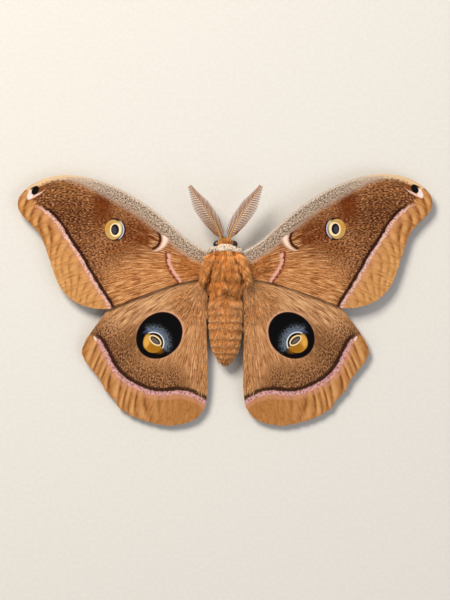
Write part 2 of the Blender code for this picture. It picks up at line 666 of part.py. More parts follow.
def main():
    """Builds every part of the moth."""
    for obj in list(bpy.data.objects):
        bpy.data.objects.remove(obj)
    draw = random.Random(SEED)

    thorax_trunk = Trunk(THORAX)
    thorax_cutter = as_cutter(thorax_trunk.solid("thorax_clearance", grow=GAP, collection="cutters"))
    head_cutter = as_cutter(ellipsoid("head_clearance", HEAD_CENTRE, HEAD_RADII, GAP, 9, "cutters"))
    neck_cutter = box_cutter("neck_clearance", (-9, 5, -1), (9, HEAD_BACK, 16))
    tegula_cutter = box_cutter("tegula_base", (-12, -2, -1), (12, 20, TEGULA_BASE))
    collar_cutter = box_cutter("collar_base", (-9, 10, -1), (9, 20, COLLAR_BASE))
    floor_cutter = box_cutter("floor_clearance", (-30, -30, -5), (30, 30, 0))

    thorax = thorax_trunk.solid("thorax")
    boolean(thorax, "UNION", thorax_locks(thorax_trunk, draw))
    paint(thorax, "thorax coat", (0.50, 0.22, 0.06), 0.9)

    abdomen_trunk = Trunk(abdomen_stations())
    abdomen = abdomen_trunk.solid("abdomen")
    boolean(abdomen, "UNION", abdomen_locks(abdomen_trunk, draw))
    paint(abdomen, "abdomen coat", (0.50, 0.24, 0.08), 0.9)

    head = ellipsoid("head", HEAD_CENTRE, HEAD_RADII, rings=9)
    boolean(head, "UNION", face_locks(draw))
    boolean(head, "DIFFERENCE", [neck_cutter])
    paint(head, "head coat", (0.55, 0.26, 0.08), 0.9)

    eye_cutters = []
    for side_name, side in SIDES.items():
        centre = mirrored(EYE_CENTRE, side)
        eye = ellipsoid(f"eye_{side_name}", centre, Vector((EYE_RADIUS,) * 3), rings=9)
        boolean(eye, "DIFFERENCE", [head_cutter, thorax_cutter])
        paint(eye, f"eye {side_name}", (0.02, 0.012, 0.01), 0.25)
        radii = Vector((EYE_RADIUS,) * 3)
        eye_cutters.append(as_cutter(
            ellipsoid(f"eye_clearance_{side_name}", centre, radii, GAP, 9, "cutters")
        ))

    collar = ellipsoid("collar", COLLAR_CENTRE, COLLAR_RADII, rings=8)
    boolean(collar, "UNION", collar_locks(draw))
    boolean(collar, "DIFFERENCE", [thorax_cutter, head_cutter, collar_cutter, *eye_cutters])
    paint(collar, "collar coat", (0.75, 0.62, 0.48), 0.9)

    for side_name, side in SIDES.items():
        forewing = wing(
            f"forewing_{side_name}", side, FOREWING_OUTLINE, FOREWING_VEINS,
            WING_PAIR_OFFSET, FOREWING_TURN_DEG[side_name], thorax_cutter,
        )
        paint(forewing, f"forewing {side_name}", (0.30, 0.15, 0.06), 0.8)
        hindwing = wing(
            f"hindwing_{side_name}", side, HINDWING_OUTLINE, HINDWING_VEINS,
            -WING_PAIR_OFFSET, 0.0, thorax_cutter,
        )
        paint(hindwing, f"hindwing {side_name}", (0.42, 0.23, 0.10), 0.8)

        centre = mirrored(TEGULA_CENTRE, side)
        tegula = ellipsoid(f"tegula_{side_name}", centre, TEGULA_RADII, rings=6)
        boolean(tegula, "UNION", tegula_locks(side, centre, draw))
        boolean(tegula, "DIFFERENCE", [thorax_cutter, tegula_cutter])
        paint(tegula, f"shoulder flap {side_name}", (0.52, 0.24, 0.07), 0.9)

        feeler = antenna(f"antenna_{side_name}", side, head_cutter)
        paint(feeler, f"antenna {side_name}", (0.35, 0.22, 0.09), 0.7)

        palp = ellipsoid(f"palp_{side_name}", mirrored(PALP_CENTRE, side), PALP_RADII, rings=5)
        boolean(palp, "DIFFERENCE", [head_cutter])
        paint(palp, f"palp {side_name}", (0.30, 0.12, 0.04), 0.9)

        for leg_name, points in LEGS.items():
            limb = leg(f"{leg_name}_{side_name}", side, points, [thorax_cutter, floor_cutter])
            paint(limb, f"{leg_name} {side_name}", (0.28, 0.13, 0.05), 0.9)


main()
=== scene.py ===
"""The looks of the polyphemus moth: patterned wings, furred body, combed antennae, floor, light and camera.

Lengths are in millimetres unless a name says otherwise, and MM turns them into metres. The head points to
+Y and the model rests on the floor at Z = 0. The places of the wings' marks are given for the right side,
and the left side mirrors them.
"""

from __future__ import annotations

import logging
import math
from dataclasses import dataclass, replace
from enum import Enum

import bpy
import numpy as np
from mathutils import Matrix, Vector
from mathutils.bvhtree import BVHTree
from mathutils.geometry import interpolate_bezier


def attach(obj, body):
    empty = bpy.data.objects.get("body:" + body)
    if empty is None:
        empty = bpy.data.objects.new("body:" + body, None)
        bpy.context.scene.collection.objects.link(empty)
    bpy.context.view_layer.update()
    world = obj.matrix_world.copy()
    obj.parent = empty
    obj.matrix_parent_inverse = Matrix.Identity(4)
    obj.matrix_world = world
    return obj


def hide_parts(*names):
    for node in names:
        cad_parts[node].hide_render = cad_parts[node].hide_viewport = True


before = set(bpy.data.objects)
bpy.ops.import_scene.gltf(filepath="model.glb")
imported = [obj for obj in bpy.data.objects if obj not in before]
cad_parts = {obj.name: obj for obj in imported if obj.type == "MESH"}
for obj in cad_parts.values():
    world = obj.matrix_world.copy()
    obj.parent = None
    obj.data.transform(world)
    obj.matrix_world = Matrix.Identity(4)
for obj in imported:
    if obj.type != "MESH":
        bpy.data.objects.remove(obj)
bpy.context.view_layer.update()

MM = 0.001
TINY = 1e-6
Piece = bpy.types.Object
Socket = bpy.types.NodeSocket
Fields = dict[str, Socket]
log = logging.getLogger("moth")


class Side(Enum):
    """The two sides of the body, with the sign of X on each."""

    LEFT = -1
    RIGHT = 1

    @property
    def word(self) -> str:
        """The side's name as the nodes spell it."""
        return self.name.lower()

    @property
    def mirror(self) -> np.ndarray:
        """What a place on the right side is multiplied by to lie on this side."""
        return np.array([self.value, 1.0, 1.0])


def linear(colour: str) -> tuple[float, float, float]:
    """Turns six hex digits of an sRGB colour into linear red, green and blue from 0 to 1."""
    shares = (int(colour[i:i + 2], 16) / 255 for i in (0, 2, 4))
    return tuple(s / 12.92 if s <= 0.04045 else ((s + 0.055) / 1.055) ** 2.4 for s in shares)


def ease(values: np.ndarray, start: float, end: float) -> np.ndarray:
    """Rises smoothly from 0 at start to 1 at end, whichever of the two is larger."""
    share = np.clip((values - start) / (end - start), 0.0, 1.0)
    return share * share * (3 - 2 * share)


def unit(rows: np.ndarray) -> np.ndarray:
    """The rows at length 1, and rows of zeros as they are."""
    return rows / np.maximum(np.linalg.norm(rows, axis=1), TINY)[:, None]


def curve_through(points: list[tuple], step: float) -> np.ndarray:
    """Gives points about a step apart on a smooth curve through the given ones.

    Args:
        points: the points to pass through, flat or solid.
        step: the wanted spacing.

    Returns:
        An array with one point a row, as wide as the given points.
    """
    width = len(points[0])
    solid = [Vector(p).to_3d() for p in points]
    line = []
    for i in range(len(solid) - 1):
        here, there = solid[i], solid[i + 1]
        before, after = solid[max(i - 1, 0)], solid[min(i + 2, len(solid) - 1)]
        parts = max(1, round((there - here).length / step))
        line += interpolate_bezier(
            here, here + (there - before) / 6, there - (after - here) / 6, there, parts + 1
        )[:-1]
    return np.array([p[:] for p in line + [solid[-1]]])[:, :width]


def along(line: np.ndarray, shares: np.ndarray) -> np.ndarray:
    """Finds points at given shares of a line's length.

    Args:
        line: the points of the line, one a row.
        shares: how far along it each wanted point lies, from 0 to 1.

    Returns:
        One point a row.
    """
    steps = np.linalg.norm(np.diff(line, axis=0), axis=1)
    place = np.concatenate([[0.0], np.cumsum(steps)]) / steps.sum()
    return np.stack([np.interp(shares, place, line[:, axis]) for axis in range(line.shape[1])], axis=-1)


def gap_to(points: np.ndarray, line: np.ndarray, ended: bool = False) -> np.ndarray:
    """Distance from flat points to a line, positive on its left as it runs.

    Args:
        points: flat points, one a row.
        line: the points of the line, one a row.
        ended: whether the distance is negative beyond the line's ends too.

    Returns:
        One signed distance for each point.
    """
    start, run = line[:-1], np.diff(line, axis=0)
    length = (run ** 2).sum(axis=1)
    best = np.full(len(points), np.inf)
    sign = np.ones(len(points))
    for a, d, size in zip(start, run, length):
        rel = points - a
        share = np.clip((rel @ d) / size, 0.0, 1.0)
        off = rel - share[:, None] * d
        gap = np.linalg.norm(off, axis=1)
        nearer = gap < best
        best[nearer] = gap[nearer]
        side = d[0] * rel[:, 1] - d[1] * rel[:, 0]
        sign[nearer] = np.where(side[nearer] >= 0, 1.0, -1.0)
    if ended:
        for end, outward in ((line[0], -run[0]), (line[-1], run[-1])):
            rel = points - end
            sign[(rel @ outward > 0) & (np.linalg.norm(rel, axis=1) <= best + TINY)] = -1.0
    return best * sign


def select_only(obj: Piece) -> None:
    """Makes an object the only selected and the active one.

    Args:
        obj: the object.
    """
    bpy.ops.object.select_all(action="DESELECT")
    obj.select_set(True)
    bpy.context.view_layer.objects.active = obj


def named(name: str) -> Piece:
    """Names the active object and its mesh.

    Args:
        name: the name of both.

    Returns:
        The object.
    """
    obj = bpy.context.active_object
    obj.name = name
    obj.data.name = name
    return obj


def apply_all(obj: Piece) -> None:
    """Applies an object's modifiers in their order.

    Args:
        obj: the object.
    """
    select_only(obj)
    for modifier in list(obj.modifiers):
        bpy.ops.object.modifier_apply(modifier=modifier.name)


def vertices_of(obj: Piece) -> np.ndarray:
    """Reads the vertices of an object's mesh.

    Args:
        obj: the object.

    Returns:
        One vertex a row, in metres.
    """
    flat = np.empty(len(obj.data.vertices) * 3)
    obj.data.vertices.foreach_get("co", flat)
    return flat.reshape(-1, 3)


def move_vertices(obj: Piece, places: np.ndarray) -> None:
    """Puts the mesh's vertices at the given places, in metres."""
    obj.data.vertices.foreach_set("co", np.ascontiguousarray(places, dtype=np.float64).ravel())
    obj.data.update()


def note(obj: Piece, name: str, values: np.ndarray) -> None:
    """Stores a value, a vector or a colour for each vertex under an attribute's name.

    Args:
        obj: the object whose mesh takes the attribute.
        name: the attribute's name.
        values: one row or number a vertex; four columns are a colour, three a vector.
    """
    kinds = {1: ("FLOAT", "value"), 3: ("FLOAT_VECTOR", "vector"), 4: ("FLOAT_COLOR", "color")}
    columns = 1 if values.ndim == 1 else values.shape[1]
    kind, field_name = kinds[columns]
    attribute = obj.data.attributes.new(name, kind, "POINT")
    attribute.data.foreach_set(field_name, np.ascontiguousarray(values, dtype=np.float32).ravel())


@dataclass(frozen=True)
class Mark:
    """A mark of a pattern, missing where its measure is at absent and strongest where it is at full."""

    measure: Socket
    absent: float
    full: float
    colour: str
    strength: float


class Recipe:
    """A finish's node tree while it is being wired, round one Principled shader."""

    def __init__(self, name: str, roughness: float, **sockets: float) -> None:
        """Starts a material.

        Args:
            name: what the real surface is.
            roughness: the same all over the surface.
            sockets: further constants, by the shader's socket names with _ for a space.
        """
        self.material = bpy.data.materials.new(name)
        self.material.use_nodes = True
        self.tree = self.material.node_tree
        self.shader = self.tree.nodes["Principled BSDF"]
        self.shader.inputs["Roughness"].default_value = roughness
        for socket, value in sockets.items():
            self.shader.inputs[socket.replace("_", " ")].default_value = value

    def add(self, kind: str, wires: dict, output: int | str = 0, **settings: str) -> Socket:
        """Adds a node with its settings and links.

        Args:
            kind: the node's type, without the word that all shader nodes start with.
            wires: what each input takes, by name or number: a socket or a plain value.
            output: which output is wanted.
            settings: the node's own properties.

        Returns:
            The wanted output.
        """
        node = self.tree.nodes.new(f"ShaderNode{kind}")
        for key, value in settings.items():
            setattr(node, key, value)
        for key, value in wires.items():
            if isinstance(value, Socket):
                self.tree.links.new(value, node.inputs[key])
            else:
                node.inputs[key].default_value = value
        return node.outputs[output]

    def share(self, measure: Socket, absent: float, full: float, *within: Socket) -> Socket:
        """Turns a measure into a share that lies within other shares.

        Args:
            measure: what is followed.
            absent: the measure where the share is 0.
            full: the measure where it is 1, reached smoothly.
            within: other shares, which this one is multiplied by.

        Returns:
            The share.
        """
        result = self.add(
            "MapRange", {"Value": measure, "From Min": absent, "From Max": full},
            interpolation_type="SMOOTHSTEP",
        )
        for other in within:
            result = self.add("Math", {0: result, 1: other}, operation="MULTIPLY")
        return result

    def between(self, measure: Socket, low: float, high: float, soft: float, *within: Socket) -> Socket:
        """The share of a stripe from low to high, whose two edges are soft wide, within other shares."""
        rise = self.share(measure, low - soft / 2, low + soft / 2)
        return self.share(measure, high + soft / 2, high - soft / 2, rise, *within)

    def paint(self, ground: Socket | str, marks: list[Mark]) -> Socket:
        """Lays marks over a colour, the last one on top.

        Args:
            ground: the colour below, as hex or socket.
            marks: the marks.

        Returns:
            The colour with the marks on it.
        """
        below = (*linear(ground), 1.0) if isinstance(ground, str) else ground
        for mark in marks:
            cover = self.add(
                "MapRange",
                {"Value": mark.measure, "From Min": mark.absent, "From Max": mark.full,
                 "To Max": mark.strength},
                interpolation_type="SMOOTHSTEP",
            )
            above = (*linear(mark.colour), 1.0)
            below = self.add("Mix", {0: cover, 6: below, 7: above}, 2, data_type="RGBA")
        return below

    def finish(
        self, obj: Piece, colour: Socket, height: Socket | None = None, depth_mm: float = 0.0,
    ) -> None:
        """Wires colour and relief to the shader and gives the object the material.

        Args:
            obj: the piece.
            colour: its base colour.
            height: the relief from 0 to 1, if any.
            depth_mm: how deep the relief is.
        """
        self.tree.links.new(colour, self.shader.inputs["Base Color"])
        if height is not None:
            bump = self.add("Bump", {"Height": height, "Distance": depth_mm * MM})
            self.tree.links.new(bump, self.shader.inputs["Normal"])
        obj.data.materials.clear()
        obj.data.materials.append(self.material)


@dataclass(frozen=True)
class Spot:
    """An oval on a wing: its centre, its two radii, and how far the first one turns from +X."""

    x: float
    y: float
    wide: float
    high: float
    turn_deg: float = 0.0

    def radius_at(self, points: np.ndarray) -> np.ndarray:
        """Tells how far out flat points lie.

        Args:
            points: flat points, one a row.

        Returns:
            For each point its radius, 1 on the oval's edge.
        """
        turn = math.radians(self.turn_deg)
        rel = points - np.array([self.x, self.y])
        first = rel[:, 0] * math.cos(turn) + rel[:, 1] * math.sin(turn)
        second = rel[:, 1] * math.cos(turn) - rel[:, 0] * math.sin(turn)
        return np.hypot(first / self.wide, second / self.high)

    def radius_socket(self, recipe: Recipe, place: Socket) -> Socket:
        """Gives the same measure inside a material.

        Args:
            recipe: the material.
            place: the wing's own flat coordinates.

        Returns:
            The radius, 1 on the oval's edge.
        """
        local = recipe.add(
            "Mapping",
            {"Vector": place, "Location": (self.x, self.y, 0.0),
             "Rotation": (0.0, 0.0, math.radians(self.turn_deg)), "Scale": (self.wide, self.high, 1.0)},
            vector_type="TEXTURE",
        )
        return recipe.add("VectorMath", {0: local}, "Value", operation="LENGTH")


def toward(recipe: Recipe, place: Socket, start: tuple[float, float], angle_deg: float) -> Socket:
    """Measures inside a material how far flat coordinates lie from a point in one direction.

    Args:
        recipe: the material.
        place: the wing's own flat coordinates.
        start: the point.
        angle_deg: the direction, counted from +X.

    Returns:
        The distance, negative behind the point.
    """
    local = recipe.add(
        "Mapping",
        {"Vector": place, "Location": (*start, 0.0), "Rotation": (0.0, 0.0, math.radians(angle_deg))},
        vector_type="TEXTURE",
    )
    return recipe.add("SeparateXYZ", {0: local}, "X")


@dataclass(frozen=True)
class Tone:
    """A soft patch of another colour: its oval, its colour, its strength and how soft its edge is."""

    spot: Spot
    colour: str
    strength: float = 1.0
    core: float = 0.25


@dataclass(frozen=True)
class WingPlan:
    """What the two wings of a pair share: edges, veins, lines of the pattern and soft patches of colour.

    The edges run from the body outwards, and the margin from the tip to the inner corner. The band parts the
    ground from the margin. Over fold_region, counted round the margin from the tip, the folds grow from the
    share fold_rest to their full depth. Rays and steps are the grid's rows across and along the wing.
    """

    pair: str
    costa: list[tuple]
    margin: list[tuple]
    inner: list[tuple]
    veins: list[list[tuple]]
    band: list[tuple]
    bar: list[tuple]
    offset: float
    ground: str
    tones: list[Tone]
    margin_colour: str
    dusk: str
    dusk_reach: float
    dusk_strength: float
    fold_spacing: float
    fold_slant: float
    fold_region: tuple[float, float]
    fold_rest: float
    folded_colour: str
    folded_strength: float
    scallop: float
    streaks: float
    rays: int
    steps: int


FOREWING = WingPlan(
    pair="forewing",
    costa=[
        (3.0, 14.2), (7.0, 15.9), (11.7, 18.9), (17.0, 23.6), (22.6, 28.3), (29.7, 33.0), (36.1, 36.1),
        (43.0, 38.3), (50.0, 39.1), (56.3, 38.1), (61.5, 35.6),
    ],
    margin=[
        (61.5, 35.6), (64.4, 32.4), (65.0, 29.6), (63.8, 26.7), (60.8, 23.7), (58.0, 20.5), (56.4, 16.6),
        (55.1, 12.7), (53.5, 8.0), (51.7, 4.0), (48.7, 0.6), (45.0, -1.6), (40.5, -2.7), (36.3, -2.8),
    ],
    inner=[(3.0, 7.4), (9.0, 6.4), (16.0, 4.9), (23.8, 2.2), (30.5, -0.3), (36.3, -2.8)],
    veins=[
        [(3.0, 14.0), (7.4, 15.4), (12.0, 18.3), (17.3, 23.0), (30.0, 32.2), (36.3, 35.3), (43.0, 37.5)],
        [(3.0, 13.2), (9.0, 15.4), (17.0, 20.6), (25.0, 25.4), (31.0, 27.4), (37.0, 28.6)],
        [(31.0, 27.4), (40.0, 32.6), (50.0, 36.2), (56.0, 37.0)],
        [(37.0, 28.6), (46.0, 31.8), (56.0, 34.0), (62.0, 33.6)],
        [(37.0, 28.6), (46.0, 28.8), (56.0, 28.8), (64.0, 28.2)],
        [(37.0, 28.6), (36.8, 25.0), (36.4, 21.6), (35.0, 18.2)],
        [(36.4, 21.6), (45.0, 22.6), (54.0, 23.2), (60.4, 23.3)],
        [(35.0, 18.2), (42.0, 18.2), (50.0, 17.9), (56.8, 17.2)],
        [(3.0, 10.6), (10.0, 11.6), (18.0, 13.2), (26.0, 15.3), (35.0, 18.2)],
        [(29.0, 16.1), (37.0, 14.2), (46.0, 11.8), (54.6, 10.9)],
        [(21.0, 13.9), (30.0, 10.2), (41.0, 6.2), (51.6, 3.8)],
        [(3.0, 8.6), (12.0, 8.0), (24.0, 5.2), (35.0, 1.2), (45.6, -1.4)],
    ],
    band=[
        (35.0, -4.2), (36.4, -0.9), (38.6, 2.4), (41.6, 7.2), (45.2, 13.5), (48.8, 18.9), (52.4, 24.5),
        (56.2, 28.2), (59.6, 31.0), (58.2, 34.6), (55.0, 37.2), (54.0, 41.0),
    ],
    bar=[(14.2, 5.6), (15.0, 6.8), (16.4, 8.6), (17.7, 11.4), (17.9, 14.4)],
    offset=0.65,
    ground="9C6842",
    tones=[
        Tone(Spot(29.0, 4.0, 22.0, 9.0, -20), "C2834F", 0.95, 0.35),
        Tone(Spot(14.0, 8.5, 10.0, 5.0, 10), "B87440", 0.9, 0.3),
        Tone(Spot(12.0, 14.5, 9.0, 4.5, 38), "9C5A2A", 0.95, 0.3),
        Tone(Spot(48.0, 26.5, 11.5, 8.0, 25), "5A2F11", 0.92, 0.3),
        Tone(Spot(51.0, 34.2, 10.0, 3.2, 2), "8A5A32", 0.75, 0.2),
        Tone(Spot(45.5, 15.0, 3.2, 13.0, 28), "7F4F2C", 0.7, 0.3),
        Tone(Spot(38.5, 31.0, 3.2, 6.2, 12), "5C2400", 0.97, 0.25),
        Tone(Spot(37.5, 26.0, 4.5, 4.0), "6E350D", 0.85, 0.2),
        Tone(Spot(33.0, 15.8, 7.5, 3.0, -8), "7A3F12", 0.75, 0.2),
        Tone(Spot(27.5, 20.6, 9.8, 4.2, 14), "6A2E04", 0.97, 0.5),
        Tone(Spot(30.0, 27.5, 7.0, 2.6, 38), "85502A", 0.7, 0.2),
    ],
    margin_colour="C48C52",
    dusk="5E3418",
    dusk_reach=5.0,
    dusk_strength=0.5,
    fold_spacing=4.0,
    fold_slant=1.0,
    fold_region=(30.0, 18.0),
    fold_rest=0.55,
    folded_colour="985C28",
    folded_strength=0.6,
    scallop=0.12,
    streaks=1.0,
    rays=165,
    steps=150,
)

HINDWING = WingPlan(
    pair="hindwing",
    costa=[
        (3.0, 8.4), (9.0, 8.3), (18.0, 6.6), (26.0, 3.8), (32.0, 0.9), (36.6, -3.0), (40.3, -7.7),
        (43.6, -12.3),
    ],
    margin=[
        (43.6, -12.3), (45.0, -15.9), (44.3, -18.5), (42.0, -21.7), (39.4, -25.0), (37.7, -28.3),
        (34.9, -31.4), (32.9, -34.2), (28.6, -36.8), (24.0, -38.3), (19.0, -39.4), (13.4, -38.9),
        (9.0, -37.0), (6.4, -33.6),
    ],
    inner=[(3.0, 2.6), (6.0, 0.5), (6.1, -6.0), (5.7, -16.0), (5.6, -28.0), (6.4, -33.6)],
    veins=[
        [(3.0, 7.0), (12.0, 6.6), (22.0, 3.4), (32.0, -2.4), (40.6, -8.2)],
        [(7.0, 4.6), (14.0, 1.6), (20.0, -2.4), (27.0, -6.8), (36.0, -11.4), (44.8, -16.8)],
        [(27.0, -6.8), (24.6, -11.0), (21.0, -14.6), (16.6, -16.8)],
        [(26.0, -8.8), (33.0, -15.0), (42.0, -21.7)],
        [(23.0, -12.8), (29.0, -19.8), (37.6, -28.4)],
        [(19.4, -15.6), (25.0, -25.0), (32.6, -34.4)],
        [(6.4, 3.0), (9.4, -4.0), (13.0, -11.0), (16.6, -16.8)],
        [(16.6, -16.8), (20.0, -27.0), (24.0, -38.2)],
        [(12.4, -10.0), (13.8, -24.0), (15.4, -39.1)],
        [(6.6, 1.0), (8.4, -12.0), (9.0, -26.0), (9.4, -37.0)],
    ],
    band=[
        (4.6, -32.6), (7.6, -30.5), (11.0, -28.9), (14.6, -28.3), (18.0, -28.6), (21.4, -28.7),
        (24.5, -28.0), (27.5, -26.7), (30.8, -24.8), (33.6, -22.3), (35.8, -18.9), (37.5, -15.3),
        (39.5, -12.2), (42.4, -10.6), (45.0, -10.4),
    ],
    bar=[],
    offset=-0.65,
    ground="BC875A",
    tones=[
        Tone(Spot(26.0, -2.0, 17.0, 6.0, -28), "C29268", 0.9, 0.3),
        Tone(Spot(30.0, -14.5, 6.5, 11.0, 40), "7C5534", 0.88, 0.25),
        Tone(Spot(20.0, -23.0, 13.0, 4.6, 4), "936640", 0.8, 0.25),
        Tone(Spot(9.5, -16.0, 4.2, 22.0, 3), "BF885B", 0.85, 0.3),
        Tone(Spot(10.5, -1.5, 6.5, 6.0), "AE7040", 0.85, 0.25),
    ],
    margin_colour="AC743F",
    dusk="674226",
    dusk_reach=7.0,
    dusk_strength=0.75,
    fold_spacing=2.9,
    fold_slant=0.25,
    fold_region=(44.0, 26.0),
    fold_rest=0.16,
    folded_colour="B27A48",
    folded_strength=0.4,
    scallop=0.28,
    streaks=0.75,
    rays=150,
    steps=100,
)


@dataclass
class Wing:
    """One wing: a thin sheet with raised veins and a pleated margin, patterned on both faces.

    The wing turns about its root, and sinks from root_height there to tip_height at its reach.
    """

    plan: WingPlan
    side: Side
    turn_deg: float = 0.0
    thickness: float = 0.24
    root: tuple[float, float] = (6.0, 10.0)
    reach: float = 62.0
    root_height: float = 7.3
    tip_height: float = 2.7
    vein_height: float = 0.16
    vein_half_width: float = 0.28
    sag: float = 0.14
    sag_reach: float = 1.6
    pleat_depth: float = 0.26
    lobe_width: float = 3.4
    ray_length: float = 60.0
    smooth_deg: float = 50.0

    @property
    def name(self) -> str:
        """The piece's name, which starts with its node's."""
        return f"{self.plan.pair}_{self.side.word}_sheet"

    def build(self) -> Piece:
        """Makes the sheet from a grid whose rows fan out from the root to the outer margin.

        Returns:
            The sheet, with the measures that its pattern follows as attributes.
        """
        plan = self.plan
        bpy.ops.object.select_all(action="DESELECT")
        bpy.ops.mesh.primitive_grid_add(x_subdivisions=plan.rays, y_subdivisions=plan.steps, size=1.0)
        sheet = named(self.name)
        share = vertices_of(sheet)[:, :2] + 0.5
        flat, around = self.spread(share)
        level = np.zeros(len(flat))
        measures = self.measures(flat, around)
        vein = measures["vein"]
        height = self.height(flat) + self.vein_height * np.exp(-((vein / self.vein_half_width) ** 2))
        height += (
            self.sag * (np.exp(-vein / self.sag_reach) - 0.4) * ease(measures["rim"], 0.0, 2.0)
            + self.pleat_depth * measures["pleat"]
        )
        move_vertices(sheet, np.column_stack([self.turned(flat), height]) * self.side.mirror * MM)
        for key, values in measures.items():
            note(sheet, key, values)
        note(sheet, "place", np.column_stack([flat, level]))
        note(sheet, "ray", np.column_stack([share * (around.max(), self.ray_length), level]))
        note(sheet, "ground", self.ground(flat, measures["band"], around))
        note(sheet, "grit", self.grit(flat, measures["band"]))
        self.make_upright(sheet)
        shell = sheet.modifiers.new("thickness", "SOLIDIFY")
        shell.thickness = self.thickness * MM
        shell.offset = 0.0
        apply_all(sheet)
        bpy.ops.object.shade_smooth_by_angle(angle=math.radians(self.smooth_deg))
        return sheet

    def measures(self, flat: np.ndarray, around: np.ndarray) -> dict[str, np.ndarray]:
        """Works out what the relief and the pattern follow.

        Args:
            flat: the flat places, one a row.
            around: how far round the outer margin each one's ray ends.

        Returns:
            For each place its distances beyond the band and the bar and from the rim, the costa and the
            nearest vein, and its height in the folds.
        """
        plan = self.plan
        costa = curve_through(plan.costa, 1.0)
        edge = np.vstack([costa, curve_through(plan.margin, 1.0), curve_through(plan.inner, 1.0)[::-1]])
        band = -gap_to(flat, curve_through(plan.band, 0.8))
        bar = -gap_to(flat, curve_through(plan.bar, 0.5), ended=True) if plan.bar else np.zeros(len(flat))
        rim = np.abs(gap_to(flat, edge))
        return {
            "band": band,
            "bar": bar,
            "rim": rim,
            "costa": np.abs(gap_to(flat, costa)),
            "vein": np.min([np.abs(gap_to(flat, curve_through(v, 1.5))) for v in plan.veins], axis=0),
            "pleat": self.pleats(around, band, rim),
        }

    def spread(self, share: np.ndarray) -> tuple[np.ndarray, np.ndarray]:
        """Maps the grid onto the wing.

        Args:
            share: for each vertex its place across from the costa to the inner margin and along from
                the root to the outer margin, both from 0 to 1.

        Returns:
            The flat places, and how far round the outer margin each one's ray ends.
        """
        plan = self.plan
        across, out = share[:, 0], share[:, 1]
        costa, inner, margin = (curve_through(line, 0.8) for line in (plan.costa, plan.inner, plan.margin))
        around = across * np.linalg.norm(np.diff(margin, axis=0), axis=1).sum()
        root = np.array([costa[0], inner[0]])
        inward = unit(np.array(self.root) - along(margin, across))
        lobes = 1 - np.abs(np.sin(math.pi * (around / self.lobe_width + 0.25 * np.sin(around * 0.37))))
        rounded = along(margin, across) + inward * (plan.scallop * lobes * np.sin(math.pi * across))[:, None]
        a, o = across[:, None], out[:, None]
        sides = (1 - a) * along(costa, out) + a * along(inner, out)
        ends = (1 - o) * along(root, across) + o * rounded
        corners = (
            (1 - a) * (1 - o) * costa[0] + a * (1 - o) * inner[0]
            + (1 - a) * o * costa[-1] + a * o * inner[-1]
        )
        return sides + ends - corners, around

    def turned(self, flat: np.ndarray) -> np.ndarray:
        """Turns flat places about the root.

        Args:
            flat: the flat places, one a row.

        Returns:
            The turned places.
        """
        turn = math.radians(self.turn_deg)
        rel = flat - np.array(self.root)
        spin = np.array([[math.cos(turn), math.sin(turn)], [-math.sin(turn), math.cos(turn)]])
        return rel @ spin + np.array(self.root)

    def height(self, flat: np.ndarray) -> np.ndarray:
        """Gives the height of the sheet's middle, as the solid wing has it.

        Args:
            flat: the flat places, one a row.

        Returns:
            One height for each place.
        """
        far = np.linalg.norm(self.turned(flat) - np.array(self.root), axis=1) / self.reach
        fall = ease(far, 0.0, 1.0)
        return self.tip_height + (self.root_height - self.tip_height) * (1 - fall) + self.plan.offset

    def pleats(self, around: np.ndarray, band: np.ndarray, rim: np.ndarray) -> np.ndarray:
        """Folds the margin, with creases that slant and bend outwards from the band.

        Args:
            around: how far round the outer margin each place's ray ends.
            band: how far each place lies beyond the band.
            rim: how far it lies from the wing's edge.

        Returns:
            For each place -1 in a crease, 1 on a ridge, 0 off the margin; painted shade and highlight follow
            it.
        """
        out = np.maximum(band, 0.0)
        bent = 0.35 * out + 0.11 * out * out
        slant = around - self.plan.fold_slant * bent + 1.2 * np.sin(around * 0.43 + 1.0)
        phase = 2 * math.pi * slant / self.plan.fold_spacing
        crease = (0.5 + 0.5 * np.sin(phase + 0.5 * np.sin(phase))) ** 2.5
        low, high = self.plan.fold_region
        swell = self.plan.fold_rest + (1 - self.plan.fold_rest) * ease(around, low, high)
        swell *= 0.7 + 0.3 * np.sin(around * 1.7 + 2.0)
        inside = ease(band, 0.2, 1.6) * (0.45 + 0.55 * ease(rim, 0.0, 1.2))
        return (0.5 - 1.5 * crease) * swell * inside

    def ground(self, flat: np.ndarray, band: np.ndarray, around: np.ndarray) -> np.ndarray:
        """Mixes the soft colours that lie under the fine pattern.

        Args:
            flat: the flat places, one a row.
            band: how far each place lies beyond the band.
            around: how far round the outer margin its ray ends.

        Returns:
            A linear colour for each place, with its alpha.
        """
        plan = self.plan
        outside = ease(band, 0.0, 0.5)
        dusk = plan.dusk_strength * ease(band, -plan.dusk_reach, -0.4) * ease(flat[:, 0], 4.0, 16.0)
        layers = [
            (tone.colour, tone.strength * (1 - ease(tone.spot.radius_at(flat), tone.core, 1.35)))
            for tone in plan.tones
        ]
        layers.append((plan.dusk, dusk))
        layers.append((plan.margin_colour, outside))
        layers.append((plan.folded_colour, plan.folded_strength * outside * ease(around, *plan.fold_region)))
        colour = np.tile(np.array(linear(plan.ground)), (len(flat), 1))
        for over, cover in layers:
            colour += (np.array(linear(over)) - colour) * cover[:, None]
        return np.column_stack([colour, np.ones(len(flat))])

    def grit(self, flat: np.ndarray, band: np.ndarray) -> np.ndarray:
        """Tells how strongly the scales are speckled.

        Args:
            flat: the flat places, one a row.
            band: how far each place lies beyond the band.

        Returns:
            For each place a share from 0, where the scales lie in streaks, to 1.
        """
        if self.plan.pair == "forewing":
            rest = 0.2 + 0.8 * ease(flat[:, 0] + 0.7 * flat[:, 1], 33.0, 50.0)
        else:
            rest = 0.1 + 0.9 * ease(band, -11.0, -4.0) * ease(flat[:, 0], 9.0, 18.0)
        return rest * (1 - ease(band, -0.4, 0.2))

